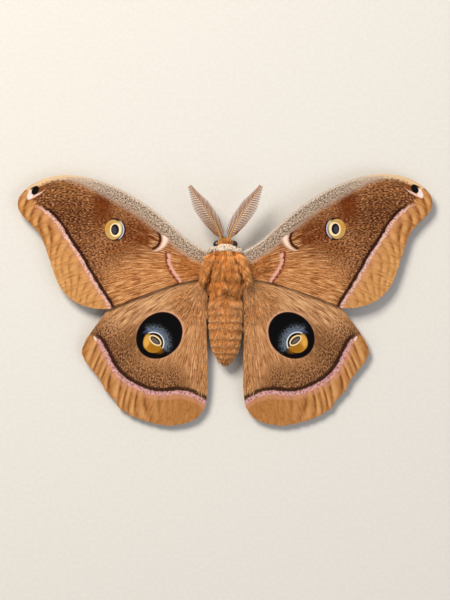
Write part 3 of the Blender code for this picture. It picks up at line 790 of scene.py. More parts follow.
    def make_upright(self, sheet: Piece) -> None:
        """Turns the faces up before the sheet gets its thickness.

        Args:
            sheet: the sheet, which mirroring may have turned over.
        """
        select_only(sheet)
        if sheet.data.polygons[0].normal.z < 0:
            bpy.ops.object.mode_set(mode="EDIT")
            bpy.ops.mesh.select_all(action="SELECT")
            bpy.ops.mesh.flip_normals()
            bpy.ops.object.mode_set(mode="OBJECT")


@dataclass(frozen=True)
class Oval:
    """An oval mark: its shape, its colour, its strength, and the radii at which it is absent and full."""

    spot: Spot
    colour: str
    strength: float = 1.0
    absent: float = 1.2
    full: float = 0.7

    def mark(self, recipe: Recipe, place: Socket) -> Mark:
        """The oval as a mark, on the wing's own flat coordinates."""
        radius = self.spot.radius_socket(recipe, place)
        return Mark(radius, self.absent, self.full, self.colour, self.strength)


def ring(spot: Spot, colour: str, strength: float = 1.0, soft: float | None = None) -> Oval:
    """One round of an eye spot, over all inside it; soft is half its edge as a share of its radius."""
    half_edge = SCALE_EDGE / spot.wide if soft is None else soft
    return Oval(spot, colour, strength, 1 + half_edge, 1 - half_edge)


@dataclass(frozen=True)
class Stripe:
    """A line of a pattern: its two edges, as distances from a drawn line, their softness and its paint."""

    low: float
    high: float
    soft: float
    colour: str
    strength: float

    def mark(self, recipe: Recipe, distance: Socket, *within: Socket) -> Mark:
        """The stripe as a mark, within other shares."""
        share = recipe.between(distance, self.low, self.high, self.soft, *within)
        return Mark(share, 0.0, 1.0, self.colour, self.strength)


@dataclass(frozen=True)
class Border:
    """The lines between a wing's ground and its margin.

    They fade in along one axis, from absent to full, and waver by the given number of mm.
    """

    waver: float
    axis: str
    absent: float
    full: float
    flush: Stripe
    dark: Stripe
    pink: Stripe
    broken: str


SCALE_EDGE = 0.1
FOREWING_BORDER = Border(
    waver=1.2, axis="Y", absent=30.5, full=27.5, broken="A4695A",
    flush=Stripe(0.2, 2.6, 1.0, "C58A62", 0.4),
    dark=Stripe(-1.2, -0.15, 0.5, "2A110A", 0.95),
    pink=Stripe(-0.1, 0.85, 0.5, "DFB8B0", 0.9),
)
HINDWING_BORDER = Border(
    waver=1.0, axis="X", absent=41.5, full=39.0, broken="965654",
    flush=Stripe(0.5, 2.6, 0.9, "C98E70", 0.5),
    dark=Stripe(-1.3, 0.0, 0.9, "28120A", 0.9),
    pink=Stripe(0.0, 1.2, 0.5, "D4A6A8", 0.88),
)
BAR_PINK = Stripe(-0.75, 0.3, 1.2, "DDA898", 0.85)
BAR_RED = Stripe(0.1, 0.9, 0.8, "6A221A", 0.9)
WING_TIP = (
    Oval(Spot(57.6, 34.6, 2.6, 0.4, 145), "7A4420", 0.7),
    Oval(Spot(59.0, 32.9, 2.2, 0.3, 150), "EBC6BC", 0.85, absent=1.3),
    Oval(Spot(61.1, 32.9, 1.6, 0.85, 118), "F0DEDA", 0.95, absent=1.25, full=0.75),
    Oval(Spot(60.0, 35.2, 1.3, 0.3, 155), "1A110D", 0.9),
    Oval(Spot(59.5, 34.3, 1.5, 1.0, 128), "0C0807", 1.0, absent=1.12, full=0.9),
)
SMALL_EYE = (
    ring(Spot(34.45, 21.95, 3.4, 3.55), "150D0C", 0.95),
    ring(Spot(34.5, 21.95, 2.95, 3.3), "C4B9D2", 0.9),
    ring(Spot(34.8, 21.95, 2.85, 3.25), "15110C"),
    ring(Spot(35.0, 21.95, 2.64, 3.12), "BE9659"),
    ring(Spot(36.2, 22.9, 1.3, 1.9, 60), "BD8530", 0.6, soft=0.4),
    ring(Spot(33.0, 22.3, 0.8, 2.2), "E2CB93", 0.7, soft=0.4),
    ring(Spot(34.35, 21.88, 1.74, 2.14), "F4DFB4"),
    ring(Spot(34.45, 21.95, 1.26, 1.72), "120D0D"),
    ring(Spot(34.7, 21.8, 0.75, 1.15), "4A4450", 0.7, soft=0.4),
)
BORDER_END = (
    Oval(Spot(40.0, -11.5, 0.95, 0.4, 62), "4A302A", 0.8),
    Oval(Spot(40.8, -12.1, 0.85, 0.35, 62), "E8D6CE", 0.85),
)
LARGE_EYE_ROUND = (
    ring(Spot(20.4, -10.85, 8.15, 6.98, 134), "D9A384", 0.7, soft=0.04),
    ring(Spot(20.65, -11.05, 7.9, 6.75, 134), "1C0A05", soft=0.02),
    ring(Spot(20.65, -11.05, 7.6, 6.45, 134), "050405", soft=0.03),
)
GOLD_DISC = Spot(22.57, -13.4, 3.1, 3.1)
LARGE_EYE_PUPIL = (
    ring(Spot(21.9, -15.2, 2.4, 1.2, 20), "9A6410", 0.6, soft=0.4),
    ring(Spot(24.6, -12.8, 0.9, 2.0, 10), "E2AA50", 0.75, soft=0.4),
    ring(Spot(21.91, -12.63, 2.22, 1.3, 38), "EBD3A4", soft=0.07),
    ring(Spot(21.91, -12.63, 1.84, 0.9, 38), "18110D", soft=0.08),
    ring(Spot(21.98, -12.7, 1.45, 0.55, 38), "6A5E54", 0.85, soft=0.25),
)


@dataclass(frozen=True)
class WingFinish:
    """Matt wing scales: flat plates in rows, which scatter light and carry all of the pattern.

    Real scales are 0.1 to 0.2 mm long, too fine to show, so speckles and streaks are drawn coarser. The
    grain fields say how many grains of a noise lie on one mm.
    """

    speckle_mm: float = 0.44
    speckle_stretch: float = 0.55
    streak_mm: float = 0.6
    streaks_along: float = 0.16
    patch_grain: float = 0.8
    frost_grain: float = 2.1
    dust_grain: float = 2.3
    gold_grain: float = 1.2
    border_break_grain: float = 1.3
    bar_break_grain: float = 1.1
    frost_width: float = 3.8
    relief_mm: float = 0.05
    roughness: float = 0.82
    specular: float = 0.08

    def dress(self, wing: Wing, sheet: Piece) -> None:
        """Makes the wing's material and gives it to the sheet.

        Args:
            wing: the wing.
            sheet: its sheet, with the wing's measures as attributes.
        """
        name = f"{wing.plan.pair} {wing.side.word} scales"
        recipe = Recipe(name, self.roughness, Specular_IOR_Level=self.specular)
        outputs = {
            "band": "Fac", "bar": "Fac", "costa": "Fac", "vein": "Fac", "pleat": "Fac", "grit": "Fac",
            "place": "Vector", "ray": "Vector", "ground": "Color",
        }
        fields = {
            key: recipe.add("Attribute", {}, output, attribute_name=key) for key, output in outputs.items()
        }
        colour, relief = self.scales(recipe, fields, wing.plan.streaks)
        marks = self.marks(recipe, fields, wing.plan.pair)
        recipe.finish(sheet, recipe.paint(colour, marks), relief, self.relief_mm)

    def scales(self, recipe: Recipe, fields: Fields, streaks: float) -> tuple[Socket, Socket]:
        """Breaks the ground up into streaks along the veins and speckles across them.

        Args:
            recipe: the material.
            fields: the wing's measures.
            streaks: how strong the streaks are.

        Returns:
            The colour and the relief.
        """
        speckle_scale = (1 / self.speckle_mm, self.speckle_stretch / self.speckle_mm, 1.0)
        streak_scale = (1 / self.streak_mm, self.streaks_along, 1.0)
        drawn = recipe.add("Mapping", {"Vector": fields["ray"], "Scale": speckle_scale})
        stretched = recipe.add("Mapping", {"Vector": fields["ray"], "Scale": streak_scale})
        speckle = recipe.add("TexNoise", {"Vector": drawn, "Scale": 1.0, "Detail": 3.0, "Roughness": 0.6})
        streak = recipe.add("TexNoise", {"Vector": stretched, "Scale": 1.0, "Detail": 3.0, "Roughness": 0.65})
        patches = recipe.add(
            "TexNoise", {"Vector": fields["place"], "Scale": self.patch_grain, "Detail": 3.0}
        )
        unspeckled = recipe.add("Math", {0: streaks, 1: fields["grit"]}, operation="SUBTRACT")
        off_margin = recipe.add(
            "MapRange",
            {"Value": fields["band"], "From Min": 0.0, "From Max": 1.0, "To Min": 1.0, "To Max": 0.32},
        )
        streaked = recipe.add("Math", {0: unspeckled, 1: off_margin}, operation="MULTIPLY")
        dark_streak, pale_streak, dark_speck, pale_speck = (
            recipe.add(
                "Math", {0: recipe.add("Math", {0: high, 1: low}, operation="SUBTRACT"), 1: cover},
                operation="MULTIPLY",
            )
            for high, low, cover in (
                (0.52, streak, streaked), (streak, 0.5, streaked),
                (0.53, speckle, fields["grit"]), (speckle, 0.5, fields["grit"]),
            )
        )
        colour = recipe.paint(fields["ground"], [
            Mark(patches, 0.5, 0.72, "C08A54", 0.2),
            Mark(patches, 0.5, 0.28, "4E2408", 0.28),
            Mark(dark_streak, 0.0, 0.13, "642C06", 0.9),
            Mark(pale_streak, 0.0, 0.15, "F4C48C", 0.85),
            Mark(dark_speck, 0.0, 0.11, "341404", 0.85),
            Mark(pale_speck, 0.02, 0.16, "C38C62", 0.8),
            Mark(fields["vein"], 0.5, 0.1, "9A622F", 0.25),
            # Painted shade in the margin's creases and painted highlight on its ridges, on top of the folds'
            # relief.
            Mark(fields["pleat"], 0.05, -0.9, "6E380E", 0.82),
            Mark(fields["pleat"], 0.0, 0.5, "E6B074", 0.5),
        ])
        half_speckle = recipe.add("Math", {0: speckle, 1: 0.5}, operation="MULTIPLY")
        relief = recipe.add("Math", {0: streak, 1: 0.5, 2: half_speckle}, operation="MULTIPLY_ADD")
        return colour, relief

    def waver(
        self, recipe: Recipe, fields: Fields, distance: Socket, grain: float, depth: float,
    ) -> Socket:
        """Makes a distance uneven, so that a line which follows it has toothed edges.

        Args:
            recipe: the material.
            fields: the wing's measures.
            distance: the even distance.
            grain: how many teeth lie on about one mm.
            depth: how far apart the highest and the lowest of them may be.

        Returns:
            The uneven distance.
        """
        noise = recipe.add(
            "TexNoise", {"Vector": fields["place"], "Scale": grain, "Detail": 3.0, "Roughness": 0.6}
        )
        centred = recipe.add("Math", {0: noise, 1: 0.5}, operation="SUBTRACT")
        return recipe.add("Math", {0: centred, 1: depth, 2: distance}, operation="MULTIPLY_ADD")

    def border(self, recipe: Recipe, fields: Fields, border: Border) -> list[Mark]:
        """Draws the dark line, the broken pink line and the flush at the margin.

        Args:
            recipe: the material.
            fields: the wing's measures.
            border: the lines.

        Returns:
            Their marks, the lowest first.
        """
        rippled = recipe.add(
            "Math", {0: fields["pleat"], 1: 0.3, 2: fields["band"]}, operation="MULTIPLY_ADD"
        )
        band = self.waver(recipe, fields, self.waver(recipe, fields, rippled, 0.7, border.waver), 2.6, 1.0)
        axis = recipe.add("SeparateXYZ", {0: fields["place"]}, border.axis)
        lined = recipe.share(axis, border.absent, border.full)
        breaks = recipe.add(
            "TexNoise",
            {"Vector": fields["place"], "Scale": self.border_break_grain, "Detail": 2.0, "Roughness": 0.7},
        )
        pink = border.pink.mark(recipe, band, lined)
        return [
            border.flush.mark(recipe, band, lined),
            border.dark.mark(recipe, band, lined),
            pink,
            Mark(recipe.share(breaks, 0.47, 0.57, pink.measure), 0.0, 1.0, border.broken, 0.8),
        ]

    def marks(self, recipe: Recipe, fields: Fields, pair: str) -> list[Mark]:
        """Gathers the marks that lie on the scales.

        Args:
            recipe: the material.
            fields: the wing's measures.
            pair: the pair that the wing is of.

        Returns:
            The marks, the lowest first.
        """
        place = fields["place"]
        if pair == "forewing":
            return [
                *self.frost(recipe, fields),
                *self.crescent(recipe, place),
                *self.bar(recipe, fields),
                *self.border(recipe, fields, FOREWING_BORDER),
                *[oval.mark(recipe, place) for oval in WING_TIP],
                *self.small_eye(recipe, place),
            ]
        return [
            *self.border(recipe, fields, HINDWING_BORDER),
            *[oval.mark(recipe, place) for oval in BORDER_END],
            *self.large_eye(recipe, place),
        ]

    def frost(self, recipe: Recipe, fields: Fields) -> list[Mark]:
        """Draws the grey frost along the costa, which ends in a cream edge, and the dark patch behind it.

        Args:
            recipe: the material.
            fields: the wing's measures.

        Returns:
            The marks, the lowest first.
        """
        place = fields["place"]
        noise = recipe.add(
            "TexNoise", {"Vector": place, "Scale": self.frost_grain, "Detail": 2.0, "Roughness": 0.8}
        )
        costa = self.waver(recipe, fields, fields["costa"], 1.6, 3.0)
        out_along = recipe.add("SeparateXYZ", {0: place}, "X")
        near_root = recipe.share(out_along, 58.0, 32.0)
        far_out = recipe.share(out_along, 40.0, 54.0)
        reach = recipe.add("Math", {0: near_root, 1: self.frost_width}, operation="MULTIPLY")
        frost = recipe.add("Math", {0: reach, 1: costa}, operation="SUBTRACT")
        frosted = recipe.share(frost, -1.2, 0.6, near_root)
        dark_grains = recipe.share(noise, 0.6, 0.42, frosted)
        bright_edge = recipe.share(fields["costa"], 1.2, 0.3, near_root)
        grainy = recipe.add("Math", {0: noise, 1: 0.7, 2: costa}, operation="MULTIPLY_ADD")
        cream_edge = recipe.add("Math", {0: far_out, 1: -1.7, 2: grainy}, operation="MULTIPLY_ADD")
        return [
            Oval(Spot(38.2, 30.2, 4.0, 7.6, 12), "642C08", 0.72, full=0.3).mark(recipe, place),
            Mark(frost, -1.9, 1.3, "CBB8A5", 0.92),
            Mark(dark_grains, 0.0, 1.0, "4A3626", 0.85),
            Mark(bright_edge, 0.0, 1.0, "DCCDBE", 0.5),
            Mark(cream_edge, 0.35, -0.3, "DDBE96", 0.8),
        ]

    def crescent(self, recipe: Recipe, place: Socket) -> list[Mark]:
        """Draws the pale crescent that hangs from the frost, with its maroon inner edge.

        Args:
            recipe: the material.
            place: the wing's own flat coordinates.

        Returns:
            The marks, the lowest first.
        """
        hollow = Spot(23.6, 19.1, 3.6, 3.6)
        inner = hollow.radius_socket(recipe, place)
        outer = Spot(22.2, 19.7, 5.1, 5.0).radius_socket(recipe, place)
        below = recipe.share(toward(recipe, place, (hollow.x, hollow.y), 120), 3.5, 2.6)
        body_side = recipe.share(recipe.add("SeparateXYZ", {0: place}, "X"), 23.6, 22.2, below)
        beyond = recipe.add("Math", {0: inner, 1: 1.0}, operation="SUBTRACT")
        inside = recipe.add("Math", {0: 1.0, 1: outer}, operation="SUBTRACT")
        depth = recipe.add("Math", {0: beyond, 1: inside}, operation="MINIMUM")
        blush = recipe.add("Math", {0: depth, 1: body_side}, operation="MULTIPLY")
        return [
            Mark(recipe.between(inner, 0.8, 1.02, 0.1, body_side), 0.2, 0.8, "36100B", 0.95),
            Mark(blush, 0.0, 0.26, "EFD3C2", 0.95),
        ]

    def bar(self, recipe: Recipe, fields: Fields) -> list[Mark]:
        """Draws the pink bar near the wing's root, with its broken red outer edge.

        Args:
            recipe: the material.
            fields: the wing's measures.

        Returns:
            The marks, the lowest first.
        """
        distance = self.waver(recipe, fields, fields["bar"], 1.5, 1.5)
        breaks = recipe.add(
            "TexNoise", {"Vector": fields["place"], "Scale": self.bar_break_grain, "Detail": 2.0}
        )
        whole = recipe.share(breaks, 0.36, 0.52)
        return [BAR_PINK.mark(recipe, distance), BAR_RED.mark(recipe, distance, whole)]

    def small_eye(self, recipe: Recipe, place: Socket) -> list[Mark]:
        """Draws the forewing's eye spot, whose lilac round shows on the body's side only.

        Args:
            recipe: the material.
            place: the wing's own flat coordinates.

        Returns:
            The marks, from the black outline in to the pupil.
        """
        outline, lilac, *middle = [oval.mark(recipe, place) for oval in SMALL_EYE]
        far_side = recipe.share(toward(recipe, place, (34.0, 22.0), 185), 1.0, 0.2)
        measure = recipe.add("Math", {0: lilac.measure, 1: far_side}, operation="ADD")
        return [outline, replace(lilac, measure=measure), *middle]

    def large_eye(self, recipe: Recipe, place: Socket) -> list[Mark]:
        """Draws the hindwing's eye spot: a black oval with blue dust round a golden disc with the pupil.

        Args:
            recipe: the material.
            place: the wing's own flat coordinates.

        Returns:
            The marks, from the flushed rim in to the pupil.
        """
        centre = (GOLD_DISC.x, GOLD_DISC.y)
        radius = GOLD_DISC.radius_socket(recipe, place)
        inward = toward(recipe, place, centre, 138)
        above = recipe.share(toward(recipe, place, centre, 95), 2.2, 3.4)
        noise = recipe.add(
            "TexNoise", {"Vector": place, "Scale": self.dust_grain, "Detail": 2.0, "Roughness": 0.8}
        )
        mottle = recipe.add("TexNoise", {"Vector": place, "Scale": self.gold_grain, "Detail": 3.0})
        thinning = recipe.add("Math", {0: radius, 1: -0.2, 2: noise}, operation="MULTIPLY_ADD")
        sector = recipe.share(inward, 0.2, 2.2)
        dust = recipe.share(thinning, 0.09, 0.22, sector, recipe.share(radius, 2.6, 1.2))
        violet = recipe.between(radius, 1.1, 1.5, 0.15, above)
        shade = recipe.share(mottle, 0.55, 0.35, recipe.share(radius, 1.0, 0.95))
        arc = recipe.share(inward, 0.6, 1.4)
        return [
            *[oval.mark(recipe, place) for oval in LARGE_EYE_ROUND],
            Mark(dust, 0.1, 0.9, "74818F", 0.66),
            Mark(violet, 0.1, 0.9, "59628E", 0.3),
            Mark(radius, 1.04, 0.97, "B27C27", 1.0),
            Mark(shade, 0.0, 1.0, "7E5208", 0.5),
            Mark(recipe.between(radius, 1.02, 1.13, 0.04, arc), 0.0, 1.0, "D9DCE0", 0.95),
            Mark(recipe.between(radius, 0.8, 1.01, 0.03, arc), 0.0, 1.0, "0D0A09", 1.0),
            *[oval.mark(recipe, place) for oval in LARGE_EYE_PUPIL],
        ]


def lofted(name: str, centres: np.ndarray, wide: np.ndarray, high: np.ndarray, segments: int) -> Piece:
    """Makes a closed round form over rings that follow a path.

    Args:
        name: the new object's name.
        centres: the rings' centres along the path, the first and last of them the rounded ends.
        wide: half the width of each ring.
        high: half the height of each ring.
        segments: how many vertices each ring has.

    Returns:
        The new object, at the origin with its place in its mesh.
    """
    bpy.ops.object.select_all(action="DESELECT")
    bpy.ops.mesh.primitive_uv_sphere_add(segments=segments, ring_count=len(centres) - 1, radius=1.0)
    form = named(name)
    start = vertices_of(form)
    last = len(centres) - 1
    row = np.rint(np.arccos(np.clip(start[:, 2], -1, 1)) / math.pi * last).astype(int)
    run = unit(np.gradient(centres, axis=0))
    side = unit(np.cross(run, (0.0, 0.0, 1.0)))
    up = np.cross(side, run)
    angle = np.arctan2(start[:, 1], start[:, 0])
    open_row = (row > 0) & (row < last)
    across = side[row] * (wide[row] * np.cos(angle) * open_row)[:, None]
    rise = up[row] * (high[row] * np.sin(angle) * open_row)[:, None]
    move_vertices(form, (centres[row] + across + rise) * MM)
    select_only(form)
    bpy.ops.object.mode_set(mode="EDIT")
    bpy.ops.mesh.select_all(action="SELECT")
    bpy.ops.mesh.normals_make_consistent(inside=False)
    bpy.ops.object.mode_set(mode="OBJECT")
    bpy.ops.object.shade_smooth()
    return form


def joined(name: str, parts: list[Piece]) -> Piece:
    """Joins objects into one.

    Args:
        name: the name of the whole.
        parts: the objects.

    Returns:
        The whole.
    """
    bpy.ops.object.select_all(action="DESELECT")
    for part in parts:
        part.select_set(True)
    bpy.context.view_layer.objects.active = parts[0]
    bpy.ops.object.join()
    return named(name)


def ball(name: str, centre: tuple, radii: tuple, turn_deg: float = 0.0, segments: int = 32) -> Piece:
    """Makes an ellipsoid.

    Args:
        name: the new object's name.
        centre: its centre.
        radii: its three half axes.
        turn_deg: how far it is turned about the vertical.
        segments: how many vertices each of its rings has.

    Returns:
        The new object, at the origin with its place and turn in its mesh.
    """
    bpy.ops.object.select_all(action="DESELECT")
    bpy.ops.mesh.primitive_uv_sphere_add(
        segments=segments, ring_count=segments // 2, radius=MM, location=[c * MM for c in centre],
        rotation=(0.0, 0.0, math.radians(turn_deg)), scale=radii,
    )
    form = named(name)
    bpy.ops.object.transform_apply(location=True, rotation=True, scale=True)
    bpy.ops.object.shade_smooth()
    return form


@dataclass
class Body:
    """The bare body under the coat: thorax, abdomen in rings, head, collar, shoulder flaps and palps.

    Each row of thorax is a ring: its place along the body, its height, half its width and half its depth.
    The abdomen's rings start and end at ring_ends, where ring_widths are half its width. Each ball is a
    centre with three half axes, and those that come in pairs are given for the right side.
    """

    thorax: tuple = (
        (16.2, 7.4, 0.0, 0.0), (15.9, 7.4, 2.4, 2.2), (15.1, 7.4, 3.5, 3.1), (13.6, 7.5, 4.5, 3.9),
        (11.5, 7.6, 5.1, 4.4), (8.5, 7.6, 5.4, 4.6), (5.5, 7.3, 5.1, 4.3), (3.0, 7.0, 4.7, 3.9),
        (1.6, 6.8, 4.3, 3.6), (0.4, 6.5, 3.0, 2.6), (0.0, 6.5, 0.0, 0.0),
    )
    ring_ends: tuple = (1.3, -1.3, -3.8, -6.3, -8.7, -11.7, -14.2, -16.1, -17.7, -19.2, -20.2)
    ring_widths: tuple = (4.3, 4.95, 5.1, 5.15, 5.1, 4.9, 4.45, 3.9, 3.0, 1.95, 0.8)
    abdomen_flatness: float = 0.84
    abdomen_heights: tuple[float, float] = (6.2, 4.4)
    ring_step: float = 0.05
    head: tuple = ((0.0, 17.4, 6.4), (2.5, 1.7, 2.4))
    neck: tuple = ((0.0, 15.2, 8.0), (4.9, 1.9, 3.1))
    shoulder: tuple = ((5.0, 10.3, 9.8), (1.45, 4.7, 1.5))
    shoulder_turn_deg: float = 20.0
    palp: tuple = ((0.9, 18.8, 4.4), (0.45, 1.15, 0.5))
    segments: int = 48
    voxel: float = 0.2
    collar: tuple[float, float] = (15.5, 17.6)

    def build(self) -> Piece:
        """Joins the forms and melts them into one skin.

        Returns:
            The skin, with the collar's paleness as an attribute.
        """
        stations = np.array(self.thorax)
        line = np.column_stack([np.zeros(len(stations)), stations[:, :2]])
        parts = [lofted("thorax form", line, stations[:, 2], stations[:, 3], self.segments), self.abdomen()]
        parts.append(ball("head form", *self.head))
        parts.append(ball("collar form", *self.neck))
        for side in Side:
            (shoulder, shoulder_radii), (palp, palp_radii) = self.shoulder, self.palp
            turn = side.value * self.shoulder_turn_deg
            parts.append(ball("shoulder form", tuple(shoulder * side.mirror), shoulder_radii, turn))
            parts.append(ball("palp form", tuple(palp * side.mirror), palp_radii, segments=16))
        skin = joined("body_skin", parts)
        melt = skin.modifiers.new("melt", "REMESH")
        melt.mode = "VOXEL"
        melt.voxel_size = self.voxel * MM
        melt.use_smooth_shade = True
        apply_all(skin)
        note(skin, "pale", self.paleness(vertices_of(skin) / MM))
        return skin

    def abdomen(self) -> Piece:
        """Makes the abdomen, each of its rings a little wider at its rear edge.

        Returns:
            The abdomen's form.
        """
        y, wide = [], []
        for i in range(len(self.ring_ends) - 1):
            for share, step in ((0.02, -1.0), (0.35, 0.0), (0.75, 0.9), (0.95, 1.0)):
                y.append(self.ring_ends[i] + (self.ring_ends[i + 1] - self.ring_ends[i]) * share)
                smooth = self.ring_widths[i] + (self.ring_widths[i + 1] - self.ring_widths[i]) * share
                wide.append(max(smooth + step * self.ring_step, 0.3))
        y = np.array([y[0] + 0.3, *y, self.ring_ends[-1]])
        wide = np.array([0.0, *wide, 0.0])
        line = np.column_stack([np.zeros(len(y)), y, self.abdomen_middle(y)])
        return lofted("abdomen form", line, wide, wide * self.abdomen_flatness, self.segments)

    def abdomen_middle(self, y: np.ndarray) -> np.ndarray:
        """Height of the abdomen's middle."""
        high, low = self.abdomen_heights
        return high + (low - high) * (self.ring_ends[0] - y) / (self.ring_ends[0] - self.ring_ends[-1])

    def axis_height(self, y: np.ndarray) -> np.ndarray:
        """Gives the height of the whole body's middle line.

        Args:
            y: places along the body.

        Returns:
            One height for each place.
        """
        stations = np.array(self.thorax)[::-1]
        thorax = np.interp(y, stations[:, 0], stations[:, 1])
        return np.where(y > self.ring_ends[0], thorax, self.abdomen_middle(y))

    def paleness(self, points: np.ndarray) -> np.ndarray:
        """Tells how much of the collar's cream the fur has: a band behind the head, narrower at its sides.

        Args:
            points: places on the body, one a row.

        Returns:
            For each place a share from 0 to 1.
        """
        back, front = self.collar
        middle = (back + front) / 2 - 0.05 * points[:, 0] ** 2 - 0.06 * np.maximum(9.0 - points[:, 2], 0.0)
        half = (front - back) / 2 * (1 - 0.3 * np.clip(np.abs(points[:, 0]) / 6.0, 0, 1))
        inside = 1 - ease(np.abs(points[:, 1] - middle) / half, 0.8, 1.1)
        return inside * ease(points[:, 2], 4.5, 7.0) * (1 - ease(np.abs(points[:, 0]), 6.2, 7.2))


# A hair is a closed taper: a ring of three vertices at every step along it but the last, which is its point.
HAIR_STEPS = (0.0, 0.36, 0.7, 1.0)
HAIR_TAPER = (1.0, 0.92, 0.6)
HAIR_VERTICES = 3 * len(HAIR_TAPER) + 1
HAIR_FLATNESS = 0.3
ROOT_DEPTH = 0.12
CLUMP_LIMITS = (12, 600)
HAIRS_AT_ONCE = 1000


@dataclass
class Field:
    """A set of hairs before they are meshed; each array has one row a hair.

    Lift and droop shape a hair's rise off the skin. Hairs in a clump lean and shine alike, by the shares
    clump and clump_tint, and clumps follow the roots, stretched by clump_shape, or the strands if given.
    """

    roots: np.ndarray
    normals: np.ndarray
    flows: np.ndarray
    lengths: np.ndarray
    uv: np.ndarray
    # Shifts each hair's tint: the coat's own paler and darker parts, and painted shade in partings, notches
    # and ring fronts.
    tone: np.ndarray | float = 0.0
    width: float = 0.15
    lift: float = 0.35
    droop: float = 0.75
    clump: float = 0.45
    clump_size: float = 0.9
    unruly: float = 0.07
    clump_tint: float = 0.6
    clump_shape: tuple[float, float, float] = (1.0, 1.0, 1.0)
    cream: float = 1.0
    strands: np.ndarray | None = None

    def tangents(self) -> np.ndarray:
        """The flows laid down on the skin."""
        return unit(self.flows - (self.flows * self.normals).sum(axis=1)[:, None] * self.normals)

    def leaders(self, rng: np.random.Generator) -> np.ndarray:
        """Finds for each hair the nearest of the hairs that lead the clumps.

        Args:
            rng: for the choice of the leaders.

        Returns:
            The row of each hair's leader.
        """
        shaped = self.roots / np.array(self.clump_shape) if self.strands is None else self.strands
        spread = shaped.max(axis=0) - shaped.min(axis=0)
        count = int(np.clip(spread.prod() ** (2 / 3) * 4 / self.clump_size ** 2, *CLUMP_LIMITS))
        chosen = rng.choice(len(self.roots), min(count, len(self.roots)), replace=False)
        nearest = np.empty(len(self.roots), dtype=int)
        for start in range(0, len(self.roots), HAIRS_AT_ONCE):
            block = slice(start, start + HAIRS_AT_ONCE)
            gaps = np.linalg.norm(shaped[block][:, None] - shaped[chosen][None], axis=2)
            nearest[block] = chosen[gaps.argmin(axis=1)]
        return nearest

    def grow(self, rng: np.random.Generator, lead: np.ndarray) -> tuple[list[np.ndarray], np.ndarray]:
        """Bends the hairs off the skin and towards the leaders of their clumps.

        Args:
            rng: for the small differences between hairs.
            lead: the row of each hair's leader.

        Returns:
            The hairs' middles at each step along them, and the way that each one faces sideways.
        """
        count = len(self.roots)
        own_turn = rng.normal(0, 0.05, (count, 3))
        flow = unit(self.tangents() + own_turn + rng.normal(0, self.unruly, (count, 3))[lead])
        lengths = self.lengths * rng.uniform(0.7, 1.12, count)
        reach = self.roots + flow * lengths[:, None]
        target = self.roots[lead] + flow[lead] * lengths[lead][:, None]
        pull = (target - reach) * self.clump * rng.uniform(0.6, 1.0, count)[:, None]
        side = unit(np.cross(flow, self.normals))
        bend = rng.normal(0, 0.09, count) * lengths
        lift = self.lift * rng.uniform(0.3, 1.7, count)[lead] * rng.uniform(0.8, 1.2, count) * lengths
        middles = []
        for t in HAIR_STEPS:
            rise = lift * t * (1 - self.droop * t) - ROOT_DEPTH * (1 - t)
            middles.append(
                self.roots + flow * (lengths * t)[:, None] + self.normals * rise[:, None]
                + side * (bend * t * t)[:, None] + pull * t * t
            )
        return middles, side

    def shell(
        self, rng: np.random.Generator, middles: list[np.ndarray], side: np.ndarray,
    ) -> tuple[np.ndarray, list[list[int]]]:
        """Wraps each hair in a closed taper with three flat sides.

        Args:
            rng: for the hairs' thickness.
            middles: the hairs' middles at each step along them.
            side: the way that each hair faces sideways.

        Returns:
            The vertices, one a row, and the faces.
        """
        count = len(self.roots)
        thick = self.width * rng.uniform(0.7, 1.3, count)
        rows = []
        for middle, share in zip(middles, HAIR_TAPER):
            for corner in range(3):
                turn = math.radians(90 + 120 * corner)
                out = side * (math.cos(turn) * thick * share / 2)[:, None]
                up = self.normals * (math.sin(turn) * thick * share * HAIR_FLATNESS)[:, None]
                rows.append(middle + out + up)
        rows.append(middles[-1])
        vertices = np.stack(rows, axis=1).reshape(-1, 3)
        base = np.arange(count)[:, None] * HAIR_VERTICES
        quads = [
            (3 * k + c, 3 * k + (c + 1) % 3, 3 * k + 3 + (c + 1) % 3, 3 * k + 3 + c)
            for k in range(2) for c in range(3)
        ]
        ends = [(6 + c, 6 + (c + 1) % 3, 9) for c in range(3)] + [(2, 1, 0)]
        faces = (base[:, :, None] + np.array(quads)).reshape(-1, 4).tolist()
        faces += (base[:, :, None] + np.array(ends)).reshape(-1, 3).tolist()
        return vertices, faces

    def mesh(self, name: str, body: Body, seed: int) -> Piece:
        """Makes the hairs as one object.

        Args:
            name: the piece's name.
            body: the body, for the collar's paleness.
            seed: for the small differences between hairs.

        Returns:
            The object, with each hair's tint, its place along the hair, and its paleness as attributes.
        """
        rng = np.random.default_rng(seed)
        count = len(self.roots)
        lead = self.leaders(rng)
        vertices, faces = self.shell(rng, *self.grow(rng, lead))
        mesh = bpy.data.meshes.new(name)
        mesh.from_pydata((vertices * MM).tolist(), [], faces)
        hair = bpy.data.objects.new(name, mesh)
        bpy.context.scene.collection.objects.link(hair)
        lead_tint = rng.uniform(0, 1, count)[lead]
        own_tint = rng.uniform(0, 1, count)
        tint = (own_tint + self.clump_tint * (lead_tint - own_tint) + self.tone) * np.ones(count)
        note(hair, "along", np.tile(np.repeat(HAIR_STEPS, 3)[:HAIR_VERTICES], count))
        note(hair, "tint", np.repeat(tint, HAIR_VERTICES))
        note(hair, "pale", np.repeat(body.paleness(self.roots) * self.cream, HAIR_VERTICES))
        self.lay_out(hair, count)
        select_only(hair)
        bpy.ops.object.shade_smooth()
        return hair

